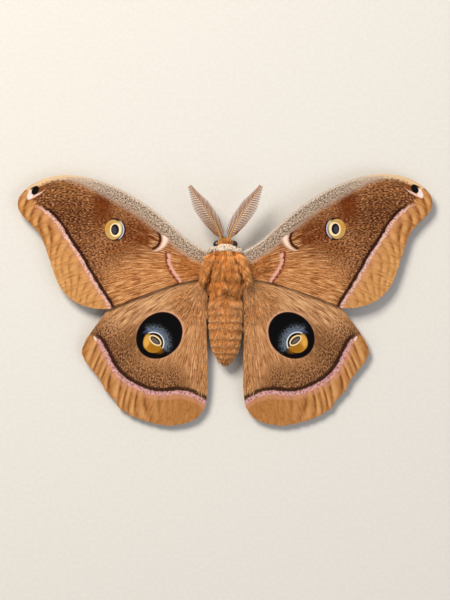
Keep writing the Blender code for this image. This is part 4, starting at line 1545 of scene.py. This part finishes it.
    def lay_out(self, hair: Piece, count: int) -> None:
        """Gives each hair its own small patch of the bake map, at its root's place on the skin's unwrap.

        Args:
            hair: the object with the hairs.
            count: how many hairs it has.
        """
        patch = 0.003
        corner = np.array([(c / 3, k / 3) for k in range(3) for c in range(3)] + [(1 / 3, 1.0)])
        uv = np.repeat(self.uv * (1 - patch), HAIR_VERTICES, axis=0) + np.tile(corner * patch, (count, 1))
        layer = hair.data.uv_layers.new(name="OFBake")
        loops = np.empty(len(hair.data.loops), dtype=int)
        hair.data.loops.foreach_get("vertex_index", loops)
        layer.data.foreach_set("uv", uv[loops].ravel())


@dataclass
class Coat:
    """The moth's fur, combed as the photograph shows it, region by region.

    The spans give where along the body a region's hairs are rooted, and turns give the angles round an
    axis, in degrees, over which they are.
    """

    body: Body
    skin: Piece
    thorax_hairs: int = 9000
    thorax_span: tuple[float, float] = (2.2, 15.6)
    abdomen_hairs: int = 9800
    abdomen_span: tuple[float, float] = (-20.0, 1.6)
    collar_hairs: int = 2600
    collar_span: tuple[float, float] = (15.2, 17.2)
    collar_turns: tuple[float, float] = (-125, 125)
    head_hairs: int = 1900
    head_centre: tuple[float, float, float] = (0.0, 17.5, 6.5)
    eye_centre: tuple[float, float, float] = (2.9, 17.7, 6.1)
    eye_clearance: float = 1.5
    shoulder_hairs: int = 2600
    shoulder_turns: tuple[float, float] = (-65, 128)
    shoulder_front: float = 14.6
    shoulder_height: float = 9.5
    wing_hairs: int = 1500
    back_height: float = 8.0

    def __post_init__(self) -> None:
        """Prepares the skin for finding roots on it."""
        corners = [v.co / MM for v in self.skin.data.vertices]
        faces = [tuple(p.vertices) for p in self.skin.data.polygons]
        self.tree = BVHTree.FromPolygons(corners, faces)

    def cast(self, starts: np.ndarray, aims: np.ndarray) -> tuple[np.ndarray, np.ndarray, np.ndarray]:
        """Finds roots where rays from outside meet the skin.

        Args:
            starts: where the rays start.
            aims: points inside the body that they run to.

        Returns:
            Roots, outward normals, and which of the rays hit.
        """
        roots, normals, hit = [], [], []
        for i in range(len(starts)):
            aim = Vector(aims[i] - starts[i])
            place, normal, _, _ = self.tree.ray_cast(Vector(starts[i]), aim)
            if place is not None:
                roots.append(place[:])
                normals.append(normal[:] if normal.dot(aim) < 0 else (-normal)[:])
                hit.append(i)
        return np.array(roots), np.array(normals), np.array(hit)

    def around(
        self, y: np.ndarray, seed: int, low_deg: float = -180, high_deg: float = 180,
    ) -> tuple[np.ndarray, ...]:
        """Finds roots round the body's axis.

        Args:
            y: the places along the body, one a hair.
            seed: for the angles.
            low_deg: the least angle about the axis.
            high_deg: the largest one.

        Returns:
            Roots, normals, the angle of each about the axis, and their unwrapped places.
        """
        rng = np.random.default_rng(seed)
        count = len(y)
        angle = np.radians(rng.uniform(low_deg, high_deg, count))
        axis = np.column_stack([np.zeros(count), y, self.body.axis_height(y)])
        out = np.column_stack([np.sin(angle), np.zeros(count), np.cos(angle)]) * 30
        roots, normals, hit = self.cast(axis + out, axis)
        low, high = self.body.ring_ends[-1] - 0.5, 20.5
        uv = np.column_stack([(angle[hit] / math.pi + 1) / 2, (y[hit] - low) / (high - low)])
        return roots, normals, angle[hit], uv

    def thorax(self) -> Field:
        """Combs the long fur that runs back and meets over the rear in crossing tufts.

        Returns:
            The hairs.
        """
        rng = np.random.default_rng(seed=11)
        y = rng.uniform(*self.thorax_span, self.thorax_hairs)
        roots, normals, _, uv = self.around(y, seed=12)
        x, y = roots[:, 0], roots[:, 1]
        on_back = roots[:, 2] > self.back_height
        rear = ease(y, 9.0, 4.5)
        inward = -1.1 * np.sign(x) * rear * ease(np.abs(x), 0.1, 1.0) * (1 - ease(np.abs(x), 3.0, 4.4))
        outward = 0.25 * np.sign(x) * ease(np.abs(x), 2.6, 5.0)
        flows = np.column_stack([inward + outward, -np.ones(len(x)), np.zeros(len(x))])
        sides = ease(np.abs(x), 2.6, 4.4)
        rear_trim, front_trim = 1.5 * ease(y, 6.0, 2.2) * (1 - sides), 1.0 * ease(y, 13.0, 15.5)
        lengths = 3.6 - rear_trim - front_trim - 1.1 * ease(-roots[:, 2], -6.0, -4.0)
        notch = np.hypot(x, (y - 3.9) / 2.6) < 0.6
        lengths = np.where(notch & on_back, 0.6, lengths)
        parting = self.parting(x, y) * on_back
        lengths = lengths * (1 - 0.75 * parting)
        notch_shade = np.exp(-((x / 0.9) ** 2) - ((y - 3.6) / 1.3) ** 2)
        notch_shade += 0.6 * np.exp(-((x / 0.6) ** 2) - ((y - 8.2) / 0.6) ** 2)
        # Painted shadow along the partings and painted shade in the notches; a little darker towards the rear
        # too.
        tone = 0.12 - 1.3 * parting - 1.4 * notch_shade * on_back - 0.15 * ease(y, 5.0, 2.4)
        return Field(
            roots, normals, flows, lengths, uv, tone,
            width=0.18, lift=0.2, droop=0.82, clump=0.3, clump_size=0.55, unruly=0.09, clump_tint=1.0,
            clump_shape=(0.9, 4.0, 1.2), cream=0.0,
        )

    def parting(self, x: np.ndarray, y: np.ndarray) -> np.ndarray:
        """The parting between the back and each shoulder flap, 1 on it and 0 away: shorter hairs, darkened as
        painted shadow.
        """
        inner = 2.5 + 0.34 * (15.2 - y)
        return np.exp(-(((np.abs(x) - inner) / 0.42) ** 2)) * ease(y, 5.0, 7.0)

    def abdomen(self) -> Field:
        """Combs the short fur in rings, with pale scalloped edges and two tufts at the front.

        Returns:
            The hairs.
        """
        rng = np.random.default_rng(seed=21)
        ends = np.array(self.body.ring_ends)
        y = rng.uniform(*self.abdomen_span, self.abdomen_hairs)
        roots, normals, angle, uv = self.around(y, seed=22)
        x, y = roots[:, 0], roots[:, 1]
        ring = np.clip(np.searchsorted(-ends, -y) - 1, 0, len(ends) - 2)
        deep = ends[ring] - ends[ring + 1]
        share = np.clip((ends[ring] - y) / deep, 0, 1)
        front = ease(y, -7.0, -0.5)
        outward = 0.1 * np.sign(x) + 0.6 * np.sign(x) * front * (1 - 0.5 * ease(np.abs(x), 2.5, 4.5))
        flows = np.column_stack([outward, -np.ones(len(x)), np.zeros(len(x))])
        scallop = 0.3 * np.abs(np.sin(3.5 * angle + ring))
        lengths = np.minimum((1 - share) * deep + 0.4 + scallop, 1.7) + 1.4 * front
        lengths += rng.uniform(-0.15, 0.55, len(x))
        lengths *= 1 - 0.75 * np.exp(-((x / 0.5) ** 2) - ((y - 0.6) / 1.1) ** 2)
        centre = np.exp(-((x / 0.35) ** 2)) * (roots[:, 2] > 6)
        # Rings paler at their rear edges, with painted shade on the hairs at each ring's front under the ring
        # ahead; a darker line along the top.
        tone = 0.55 * ease(share, 0.5, 0.95) - 0.5 * ease(share, 0.35, 0.0) - 0.2 * centre
        tone = tone * (1 - 0.7 * front)
        # Painted shade in the notch at the front, and a darker tip.
        tone -= 1.4 * np.exp(-((x / 0.6) ** 2) - ((y + 0.2) / 0.9) ** 2) + 0.3 * ease(y, -17.0, -19.5)
        return Field(
            roots, normals, flows, lengths, uv, tone,
            width=0.15, lift=0.13, droop=0.9, clump=0.3, clump_size=0.5, unruly=0.06, clump_tint=0.4,
            clump_shape=(0.8, 2.0, 1.0),
        )

    def collar(self) -> Field:
        """Combs the short cream fur behind the head back and to the sides.

        Returns:
            The hairs.
        """
        rng = np.random.default_rng(seed=31)
        y = rng.uniform(*self.collar_span, self.collar_hairs)
        roots, normals, _, uv = self.around(y, 32, *self.collar_turns)
        pale = self.body.paleness(roots) > 0.3
        roots, normals, uv = roots[pale], normals[pale], uv[pale]
        x = roots[:, 0]
        flows = np.column_stack([0.32 * x, -0.7 * np.ones(len(x)), 0.2 * np.ones(len(x))])
        lengths = 0.7 + 1.0 * ease(np.abs(x), 2.5, 5.0)
        return Field(
            roots, normals, flows, lengths, uv,
            width=0.17, lift=0.3, droop=0.6, clump=0.4, clump_size=0.4, clump_tint=0.9,
            clump_shape=(0.7, 3.0, 1.5),
        )

    def head(self) -> Field:
        """Combs an orange tuft between the antennae and short fur round the face.

        Returns:
            The hairs.
        """
        rng = np.random.default_rng(seed=41)
        count = self.head_hairs
        polar, angle = np.arccos(rng.uniform(-0.25, 1.0, count)), rng.uniform(0, 2 * math.pi, count)
        out = np.column_stack([np.sin(polar) * np.cos(angle), np.cos(polar), np.sin(polar) * np.sin(angle)])
        centre = np.array(self.head_centre)
        roots, normals, hit = self.cast(centre + out * 12, np.tile(centre, (count, 1)))
        top = ease(roots[:, 2], 7.0, 8.6)
        flows = np.column_stack([0.15 * roots[:, 0], 0.4 + top, 0.9 * top - 0.7 * (1 - top)])
        lengths = 0.75 + 0.75 * top * ease(-np.abs(roots[:, 0]), -2.2, -1.0)
        from_eye = np.abs(roots) * (1, 0, 0) + roots * (0, 1, 1) - np.array(self.eye_centre)
        clear = np.linalg.norm(from_eye, axis=1) > self.eye_clearance
        uv = np.column_stack([angle / (2 * math.pi), 0.9 + 0.1 * polar / math.pi])[hit]
        return Field(
            roots[clear], normals[clear], flows[clear], lengths[clear], uv[clear],
            width=0.13, lift=0.6, droop=0.5, clump=0.4, clump_size=0.6, cream=0.0,
        )

    def shoulder(self, side: Side) -> Field:
        """Combs the long flap of fur that covers the forewing's joint and flares out behind.

        Args:
            side: the side that it is on.

        Returns:
            The hairs.
        """
        rng = np.random.default_rng(seed=51 + side.value)
        count = self.shoulder_hairs
        y = self.shoulder_front - 8.0 * rng.uniform(0, 1, count) ** 1.1
        angle = np.radians(rng.uniform(*self.shoulder_turns, count))
        x = 3.5 + 0.36 * (self.shoulder_front - y)
        axis = np.column_stack([x, y, self.shoulder_height * np.ones(count)])
        out = np.column_stack([np.sin(angle), np.zeros(count), np.cos(angle)]) * 8
        roots, normals, hit = self.cast((axis + out) * side.mirror, axis * side.mirror)
        swing = 0.38 + 0.12 * ease(roots[:, 1], 12.0, 7.0)
        flows = np.column_stack([side.value * swing, -np.ones(len(hit)), -0.1 * np.ones(len(hit))])
        lengths = 4.0 - 1.1 * ease(roots[:, 1], 8.5, 6.0)
        parting = self.parting(roots[:, 0], roots[:, 1])
        lengths = lengths * (1 - 0.6 * parting)
        # Painted shadow along the parting, on a flap that is lighter all over.
        tone = 0.42 - 1.6 * parting
        uv = np.column_stack([angle / (2 * math.pi) + 0.5, (y - 3) / 15])[hit]
        return Field(
            roots, normals, flows, lengths, uv, tone,
            width=0.2, lift=0.2, droop=0.82, clump=0.45, clump_size=0.55, unruly=0.08, clump_tint=1.0,
            clump_shape=(0.8, 4.0, 1.2), cream=0.3,
        )

    def wing_base(self, wing: Wing) -> Field:
        """Combs the long fur that lies on a wing and runs out from the body along it.

        Args:
            wing: the wing.

        Returns:
            The hairs.
        """
        rng = np.random.default_rng(seed=61 + wing.side.value + 5 * (wing.plan.pair == "forewing"))
        count = self.wing_hairs
        if wing.plan.pair == "forewing":
            far = 8.0 * rng.uniform(0, 1, count) ** 1.3
            turn = np.radians(rng.uniform(-22, 30, count))
            flat = np.column_stack([5.0 + far * np.cos(turn), 9.6 + far * np.sin(turn)])
            aim = np.column_stack([np.cos(turn * 0.9 - 0.12), np.sin(turn * 0.9 - 0.12)])
            lengths = 3.8 - 0.2 * far
        else:
            far = 12.0 * rng.uniform(0, 1, count) ** 1.3
            turn = np.radians(rng.uniform(-90, -30, count))
            fringe = rng.uniform(0, 1, count) < 0.3
            flat = np.column_stack([6.4 + far * np.cos(turn), 6.4 + far * np.sin(turn)])
            flat[fringe] = np.column_stack([
                6.2 + 3.3 * rng.uniform(0, 1, fringe.sum()) ** 1.6,
                4.0 - 32.0 * rng.uniform(0, 1, fringe.sum()) ** 1.5,
            ])
            inward = fringe & (flat[:, 0] < 7.6) & (flat[:, 1] > -8.0)
            turn = np.where(fringe, np.where(inward, math.radians(-108), math.radians(-88)), turn)
            aim = np.column_stack([np.cos(turn), np.sin(turn)])
            lengths = np.where(fringe, 3.0, 4.4 - 0.1 * far)
        under = rng.uniform(0, 1, count) < 0.25
        up = np.where(under, -1.0, 1.0)
        turned = wing.turned(flat)
        height = wing.height(flat) + up * (wing.thickness / 2 + 0.02)
        roots = np.column_stack([turned, height]) * wing.side.mirror
        normals = np.column_stack([np.zeros((count, 2)), up])
        flows = np.column_stack([aim, -0.08 * np.ones(count)]) * wing.side.mirror
        uv = np.column_stack([flat[:, 0] / 70, (flat[:, 1] + 42) / 84])
        strands = np.column_stack([np.degrees(turn) / 4, far / 5, up * 5])
        if wing.plan.pair == "hindwing":
            edge = flat[fringe]
            strands[fringe] = np.column_stack([edge[:, 0] * 2.5, edge[:, 1] / 4, up[fringe] * 5 + 30])
        return Field(
            roots, normals, flows, lengths, uv,
            width=0.2, lift=0.09, droop=0.6, clump=0.35, clump_size=0.9, clump_tint=0.9, strands=strands,
        )


@dataclass(frozen=True)
class FurFinish:
    """Soft hair-like scales, bright at their tips and dark at their roots, partly as painted coat shade."""

    name: str
    root: str
    middle: str
    tip: str
    pale_root: str = "6E4A2C"
    pale_tip: str = "F4E6D4"
    mottle_mm: float = 0.4

    def dress(self, hair: Piece) -> None:
        """Makes the fur's material, coloured by the place along a hair, its tint and its paleness.

        Args:
            hair: the piece, with these three as attributes.
        """
        recipe = Recipe(self.name, 0.68, Specular_IOR_Level=0.15)
        along_hair, tint, pale = (
            recipe.add("Attribute", {}, "Fac", attribute_name=key) for key in ("along", "tint", "pale")
        )
        brown = recipe.paint(self.root, [
            # The dark roots are partly the hairs' own colour and partly painted shade deep in the coat.
            Mark(along_hair, 0.0, 0.35, self.middle, 1.0),
            Mark(along_hair, 0.35, 1.0, self.tip, 0.45),
            # Low tints take the root colour, so the painted shade carried in a hair's tone darkens the whole
            # hair.
            Mark(tint, 0.45, -0.25, self.root, 0.85),
            Mark(tint, 0.5, 1.05, self.tip, 0.7),
        ])
        cream = recipe.paint(self.pale_root, [
            Mark(along_hair, 0.0, 0.45, self.pale_tip, 1.0), Mark(tint, 0.55, 0.05, self.pale_root, 0.9),
        ])
        recipe.finish(hair, recipe.add("Mix", {0: pale, 6: brown, 7: cream}, 2, data_type="RGBA"))

    def dress_skin(self, skin: Piece) -> None:
        """Gives the bare body the colour of the fur's roots, with the same cream band.

        Args:
            skin: the body's skin, with its paleness as an attribute.
        """
        recipe = Recipe(self.name, 0.8, Specular_IOR_Level=0.1)
        pale = recipe.add("Attribute", {}, "Fac", attribute_name="pale")
        place = recipe.add("TexCoord", {}, "Object")
        mottle = recipe.add("TexNoise", {"Vector": place, "Scale": 1 / (self.mottle_mm * MM), "Detail": 3.0})
        brown = recipe.paint(self.root, [Mark(mottle, 0.3, 0.7, self.middle, 0.5)])
        cream = (*linear(self.pale_tip), 1.0)
        colour = recipe.add("Mix", {0: pale, 6: brown, 7: cream}, 2, data_type="RGBA")
        recipe.finish(skin, colour, mottle, 0.06)


@dataclass
class Antenna:
    """A feathered antenna: a tapering shaft with two rows of long curved side branches.

    The angles are those between the shaft and the branches of the outer and the inner row.
    """

    side: Side
    shaft: tuple = (
        (1.25, 18.2, 7.9), (1.7, 20.4, 9.2), (3.1, 23.4, 10.2), (5.6, 27.3, 11.1), (8.6, 31.6, 11.9),
        (11.2, 35.7, 12.4),
    )
    root_radius: float = 0.36
    tip_radius: float = 0.1
    branches: int = 27
    branch_length: float = 4.7
    outer_deg: float = 56.0
    inner_deg: float = 42.0
    inner_share: float = 0.86
    droop: float = 1.1
    branch_width: float = 0.4
    first_branch: float = 0.06
    branched_share: float = 0.91
    rings: int = 60

    def build(self) -> Piece:
        """Makes the shaft and its branches as one piece.

        Returns:
            The piece, whose shaft is marked by an attribute.
        """
        share = np.linspace(0, 1, self.rings)
        path = along(curve_through(list(self.shaft), 0.5), share) * self.side.mirror
        radius = self.root_radius + (self.tip_radius - self.root_radius) * share
        radius *= 1 + 0.12 * np.cos(share * 2 * math.pi * self.branches)
        shaft = lofted("shaft", path, radius, radius, 12)
        note(shaft, "shaft", np.ones(len(shaft.data.vertices)))
        parts = [shaft]
        rows = ((1.0, self.outer_deg, 1.0), (-1.0, self.inner_deg, self.inner_share))
        for sign, angle, size in rows:
            for i in range(self.branches):
                at = self.first_branch + self.branched_share * (i + 0.5) / self.branches
                parts.append(self.branch(path, at, sign * self.side.value, angle, size))
        return joined(f"antenna_{self.side.word}_plume", parts)

    def branch(self, path: np.ndarray, at: float, sign: float, angle_deg: float, size: float) -> Piece:
        """Makes one side branch, flattened, curved towards the tip and drooping at its end.

        Args:
            path: the middles of the shaft's rings.
            at: the share of the shaft at which it is rooted.
            sign: the side of the shaft that it is on, 1 or -1.
            angle_deg: the angle between the shaft and its root.
            size: its length as a share of the full one there.

        Returns:
            The branch.
        """
        k = at * (len(path) - 1)
        low = min(int(k), len(path) - 2)
        root = path[low] + (path[low + 1] - path[low]) * (k - low)
        ahead = unit(np.gradient(path, axis=0))[low]
        out = np.cross(ahead, (0.0, 0.0, 1.0)) * sign
        out /= np.linalg.norm(out)
        swell = min(1.0, (0.12 + at) / 0.32) ** 0.7 * (1 - 0.86 * max(0.0, at - 0.5) / 0.5)
        length = self.branch_length * swell * size
        t = np.linspace(0, 1, 7)[:, None]
        bend = math.radians(angle_deg) * (1 - 0.22 * t)
        line = root + length * t * (ahead * np.cos(bend) + out * np.sin(bend))
        line = line - np.array([0, 0, self.droop]) * (length / self.branch_length) * t * t
        wide = self.branch_width / 2 * (1 - 0.6 * t[:, 0] ** 2)
        wide[0] = wide[-1] = 0
        return lofted("branch", line, wide, wide * 0.7, 6)


@dataclass
class Leg:
    """A jointed leg that stands on the floor, furred above the foot.

    The joints run from the body to the toe, for the right side, and radii are the leg's at each of them.
    """

    pair: str
    side: Side
    joints: tuple
    radii: tuple = (0.85, 0.85, 0.62, 0.4, 0.24)
    foot_joints: int = 5
    foot_radii: tuple[float, float] = (0.26, 0.3)
    foot_overlap: float = 0.08
    claw: tuple[float, float, float] = (0.55, 0.3, 0.12)
    claw_radii: tuple[float, float] = (0.1, 0.03)
    hairs: int = 700

    @property
    def points(self) -> np.ndarray:
        """The joints on this leg's side, one a row."""
        return np.array(self.joints) * self.side.mirror

    def build(self) -> Piece:
        """Makes thigh, shin and a foot of short joints with two claws.

        Returns:
            The leg.
        """
        points = self.points
        parts = []
        for i in range(3):
            parts.append(self.limb(points[i], points[i + 1], self.radii[i], self.radii[i + 1]))
        heel, tip = points[3:]
        for i in range(self.foot_joints):
            start = heel + (tip - heel) * i / self.foot_joints
            end = heel + (tip - heel) * (i + 1 + self.foot_overlap) / self.foot_joints
            parts.append(self.limb(start, end, *self.foot_radii, segments=10))
        toe = (tip - heel) / np.linalg.norm(tip - heel)
        across = np.cross(toe, (0, 0, 1))
        ahead, aside, down = self.claw
        for sign in (-1, 1):
            end = tip + toe * ahead + across * sign * aside - np.array([0, 0, down])
            parts.append(self.limb(tip, end, *self.claw_radii, segments=8))
        return joined(f"{self.pair}_{self.side.word}_limb", parts)

    def limb(
        self, start: np.ndarray, end: np.ndarray, first: float, last: float, segments: int = 16,
    ) -> Piece:
        """Makes one tapering joint with rounded ends.

        Args:
            start: where it starts.
            end: where it ends.
            first: its radius at the start.
            last: its radius at the end.
            segments: how many vertices each of its rings has.

        Returns:
            The joint.
        """
        t = np.array([0.0, 0.04, 0.2, 0.5, 0.8, 0.96, 1.0])
        line = start + (end - start) * t[:, None]
        radius = (first + (last - first) * t) * np.array([0, 0.6, 1.0, 1.08, 1.0, 0.75, 0])
        return lofted("limb", line, radius, radius, segments)

    def fur(self) -> Field:
        """Combs the fur on the thigh and shin and the short fur on the foot.

        Returns:
            The hairs.
        """
        rng = np.random.default_rng(seed=71 + len(self.pair) + self.side.value)
        points = self.points
        count = self.hairs
        piece = rng.choice(4, count, p=(0.2, 0.36, 0.3, 0.14))
        share = rng.uniform(0, 1, count)[:, None]
        start, end = points[piece], points[piece + 1]
        run = unit(end - start)
        angle = rng.uniform(0, 2 * math.pi, count)[:, None]
        side = unit(np.cross(run, (0, 0, 1.0)))
        normals = side * np.cos(angle) + np.cross(side, run) * np.sin(angle)
        radii = np.array(self.radii)
        radius = radii[piece] + (radii[piece + 1] - radii[piece]) * share[:, 0]
        roots = start + (end - start) * share + normals * (radius * 0.95)[:, None]
        lengths = np.where(piece < 3, 1.5, 0.45) * (1 - 0.35 * share[:, 0])
        uv = np.column_stack([angle[:, 0] / (2 * math.pi), (piece + share[:, 0]) / 4])
        room = np.clip(roots[:, 2] - 0.05, 0.0, None)
        lengths = np.minimum(lengths, 0.25 + 0.8 * room)
        return Field(
            roots, normals, run, lengths, uv, width=0.13, lift=0.3, droop=0.7, clump=0.3, clump_size=0.6,
        )


@dataclass(frozen=True)
class EyeFinish:
    """A compound eye: glossy and nearly black, with facets fine enough to look like grain."""

    name: str = "compound eye"
    ground: str = "1A100B"
    facet: str = "3A2114"
    facets_per_mm: float = 9.0

    def dress(self, eye: Piece) -> None:
        """Makes the eye's material and gives it to the piece.

        Args:
            eye: the piece.
        """
        recipe = Recipe(self.name, 0.16, Coat_Weight=0.5, Coat_Roughness=0.08)
        place = recipe.add("TexCoord", {}, "Object")
        facets = recipe.add("TexVoronoi", {"Vector": place, "Scale": self.facets_per_mm / MM}, "Distance")
        colour = recipe.paint(self.ground, [Mark(facets, 0.3, 0.7, self.facet, 0.6)])
        recipe.finish(eye, colour, facets, 0.02)


@dataclass(frozen=True)
class GrainFinish:
    """A bare matt surface with a fine grain of a second colour, which keeps it from looking like plastic.

    Where an attribute is named, the part that it marks has a colour of its own.
    """

    name: str
    roughness: float
    specular: float
    ground: str
    grain: str
    strength: float
    full: float
    grains_per_mm: float
    detail: float = 2.0
    marked_part: str = ""
    part_colour: str = ""

    def dress(self, piece: Piece) -> None:
        """Makes the material and gives it to the piece.

        Args:
            piece: the piece.
        """
        recipe = Recipe(self.name, self.roughness, Specular_IOR_Level=self.specular)
        place = recipe.add("TexCoord", {}, "Object")
        grain = recipe.add(
            "TexNoise", {"Vector": place, "Scale": self.grains_per_mm / MM, "Detail": self.detail}
        )
        marks = [Mark(grain, 0.4, self.full, self.grain, self.strength)]
        if self.marked_part:
            part = recipe.add("Attribute", {}, "Fac", attribute_name=self.marked_part)
            marks.append(Mark(part, 0.4, 0.6, self.part_colour, 0.85))
        recipe.finish(piece, recipe.paint(self.ground, marks), grain, 0.02)


@dataclass
class Studio:
    """The pale floor, the soft lights and the camera, which looks straight down as the photograph does.

    Each lamp has its name, its place and size in metres, its power in watts and its colour.
    """

    picture_px: tuple[int, int] = (450, 600)
    mm_per_px: float = 0.3125
    body_axis_px: float = 225.4
    lens: float = 150.0
    sensor_height: float = 36.0
    wing_level: float = 5.0
    lamps: tuple = (
        ("key", (-0.28, 0.42, 0.62), 0.3, 6.6, "FFF6EA"),
        ("fill", (0.45, -0.30, 0.60), 0.55, 1.5, "EEF3FF"),
    )
    surround: str = "F2F1EE"
    surround_strength: float = 0.36

    def floor(self) -> None:
        """Lays a wide sheet of pale board."""
        bpy.ops.object.select_all(action="DESELECT")
        bpy.ops.mesh.primitive_plane_add(size=4.0, location=(0.0, 0.0, 0.0))
        floor = named("floor")
        BOARD.dress(floor)

    def light(self) -> None:
        """Sets a large soft lamp at the head's side, a weaker one opposite, and a dim pale surround."""
        for name, place, size, power, colour in self.lamps:
            lamp = bpy.data.lights.new(name, "AREA")
            lamp.size = size
            lamp.energy = power
            lamp.color = linear(colour)
            holder = bpy.data.objects.new(name, lamp)
            holder.location = place
            holder.rotation_euler = (-Vector(place)).to_track_quat("-Z", "Y").to_euler()
            bpy.context.scene.collection.objects.link(holder)
        world = bpy.data.worlds.new("studio air")
        world.use_nodes = True
        background = world.node_tree.nodes["Background"]
        background.inputs["Color"].default_value = (*linear(self.surround), 1.0)
        background.inputs["Strength"].default_value = self.surround_strength
        bpy.context.scene.world = world
        bpy.context.scene.view_settings.view_transform = "Standard"

    def camera(self) -> None:
        """Sets a long lens above the wings, with the photograph's scale and framing."""
        lens = bpy.data.cameras.new("camera")
        lens.lens = self.lens
        lens.sensor_fit = "VERTICAL"
        lens.sensor_height = self.sensor_height
        lens.clip_start = 0.01
        camera = bpy.data.objects.new("camera", lens)
        seen_height = self.picture_px[1] * self.mm_per_px
        distance = seen_height * self.lens / self.sensor_height
        middle_x = (self.picture_px[0] / 2 - self.body_axis_px) * self.mm_per_px
        camera.location = (middle_x * MM, 0.0, (distance + self.wing_level) * MM)
        bpy.context.scene.collection.objects.link(camera)
        bpy.context.scene.camera = camera


RIGHT_FOREWING_TURN_DEG = 0.5
EYE_CENTRE = (2.6, 17.4, 5.7)
EYE_RADII = (1.25, 1.25, 1.3)
BODY_NODES = (
    "thorax", "abdomen", "head", "collar", "tegula_left", "tegula_right", "palp_left", "palp_right",
)
LEG_JOINTS = {
    "foreleg": ((2.4, 13.0, 4.8), (3.8, 14.0, 2.9), (7.2, 14.5, 3.9), (9.0, 13.6, 0.95), (11.8, 12.2, 0.4)),
    "midleg": ((2.6, 8.4, 4.6), (4.6, 8.5, 2.7), (9.2, 8.4, 4.0), (11.4, 7.6, 0.95), (14.4, 6.8, 0.4)),
    "hindleg": ((2.6, 4.6, 4.6), (4.4, 3.6, 2.8), (8.6, 1.2, 3.9), (10.2, -2.0, 0.95), (11.2, -5.2, 0.4)),
}
THORAX_FUR = FurFinish("orange brown thorax fur", "743409", "EA9444", "FFC27C")
ABDOMEN_FUR = FurFinish("tan abdomen fur", "8C5222", "E8A262", "FFCC92")
HEAD_FUR = FurFinish("orange head fur", "7A421A", "D68C48", "F0BA7A")
FOREWING_FUR = FurFinish("orange forewing base fur", "7A3E12", "C87A36", "F0B070")
HINDWING_FUR = FurFinish("tan hindwing base fur", "9A5A22", "E0A062", "FACF9C")
LEG_FUR = FurFinish("brown leg fur", "4E2A12", "8C5426", "C08C54")
COMPOUND_EYE = EyeFinish()
HORN = GrainFinish(
    "antenna horn", 0.55, 0.2, "7A4408", "A8681C", 0.7, 0.7, grains_per_mm=1.8,
    marked_part="shaft", part_colour="C99656",
)
LEG_SKIN = GrainFinish("leg skin", 0.55, 0.5, "5E3418", "8A5226", 0.7, 0.7, grains_per_mm=2.5)
BOARD = GrainFinish(
    "pale matt board", 0.9, 0.5, "D9D7D2", "DEDCD8", 0.6, 0.65, grains_per_mm=0.9, detail=3.0,
)


def report(piece: Piece, slot: str, *nodes: str) -> None:
    """Fixes a finished piece to the frame, and logs it.

    Args:
        piece: the piece.
        slot: the name of its finish, which is not used.
        nodes: the solids that it stands for.
    """
    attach(piece, "root")
    if nodes:
        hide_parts(*nodes)
    log.info("%s: %d faces", piece.name, len(piece.data.polygons))


def main() -> None:
    """Builds the moth round the frame, and the floor, lights and camera about it."""
    logging.basicConfig(level=logging.INFO, format="%(message)s")
    studio = Studio()
    studio.camera()
    wings = [Wing(plan, side) for side in Side for plan in (FOREWING, HINDWING)]
    for wing in wings:
        if wing.side is Side.RIGHT and wing.plan is FOREWING:
            wing.turn_deg = RIGHT_FOREWING_TURN_DEG
        sheet = wing.build()
        WingFinish().dress(wing, sheet)
        report(sheet, f"{wing.plan.pair} scales", f"{wing.plan.pair}_{wing.side.word}")
    body = Body()
    skin = body.build()
    ABDOMEN_FUR.dress_skin(skin)
    report(skin, "thorax coat", *BODY_NODES)
    coat = Coat(body, skin)
    furs = [
        (coat.thorax(), "thorax_coat", "thorax coat", THORAX_FUR),
        (coat.abdomen(), "abdomen_coat", "abdomen coat", ABDOMEN_FUR),
        (coat.collar(), "collar_coat", "collar coat", THORAX_FUR),
        (coat.head(), "head_coat", "head coat", HEAD_FUR),
    ]
    for side in Side:
        furs.append((coat.shoulder(side), f"tegula_{side.word}_coat", "shoulder coat", THORAX_FUR))
    for wing in wings:
        pair = wing.plan.pair
        fur = FOREWING_FUR if wing.plan is FOREWING else HINDWING_FUR
        furs.append((coat.wing_base(wing), f"{pair}_{wing.side.word}_coat", f"{pair} scales", fur))
    for side in Side:
        eye = ball(f"eye_{side.word}_globe", tuple(EYE_CENTRE * side.mirror), EYE_RADII, segments=48)
        COMPOUND_EYE.dress(eye)
        report(eye, "eye", f"eye_{side.word}")
        antenna = Antenna(side).build()
        HORN.dress(antenna)
        report(antenna, "antenna", f"antenna_{side.word}")
        for pair, joints in LEG_JOINTS.items():
            leg = Leg(pair, side, joints)
            limb = leg.build()
            LEG_SKIN.dress(limb)
            report(limb, "leg coat", f"{pair}_{side.word}")
            furs.append((leg.fur(), f"{pair}_{side.word}_coat", "leg coat", LEG_FUR))
    for seed, (field, name, slot, fur) in enumerate(furs):
        hair = field.mesh(name, body, seed)
        fur.dress(hair)
        report(hair, slot)
    studio.floor()
    studio.light()


if __name__ == "__main__":
    main()
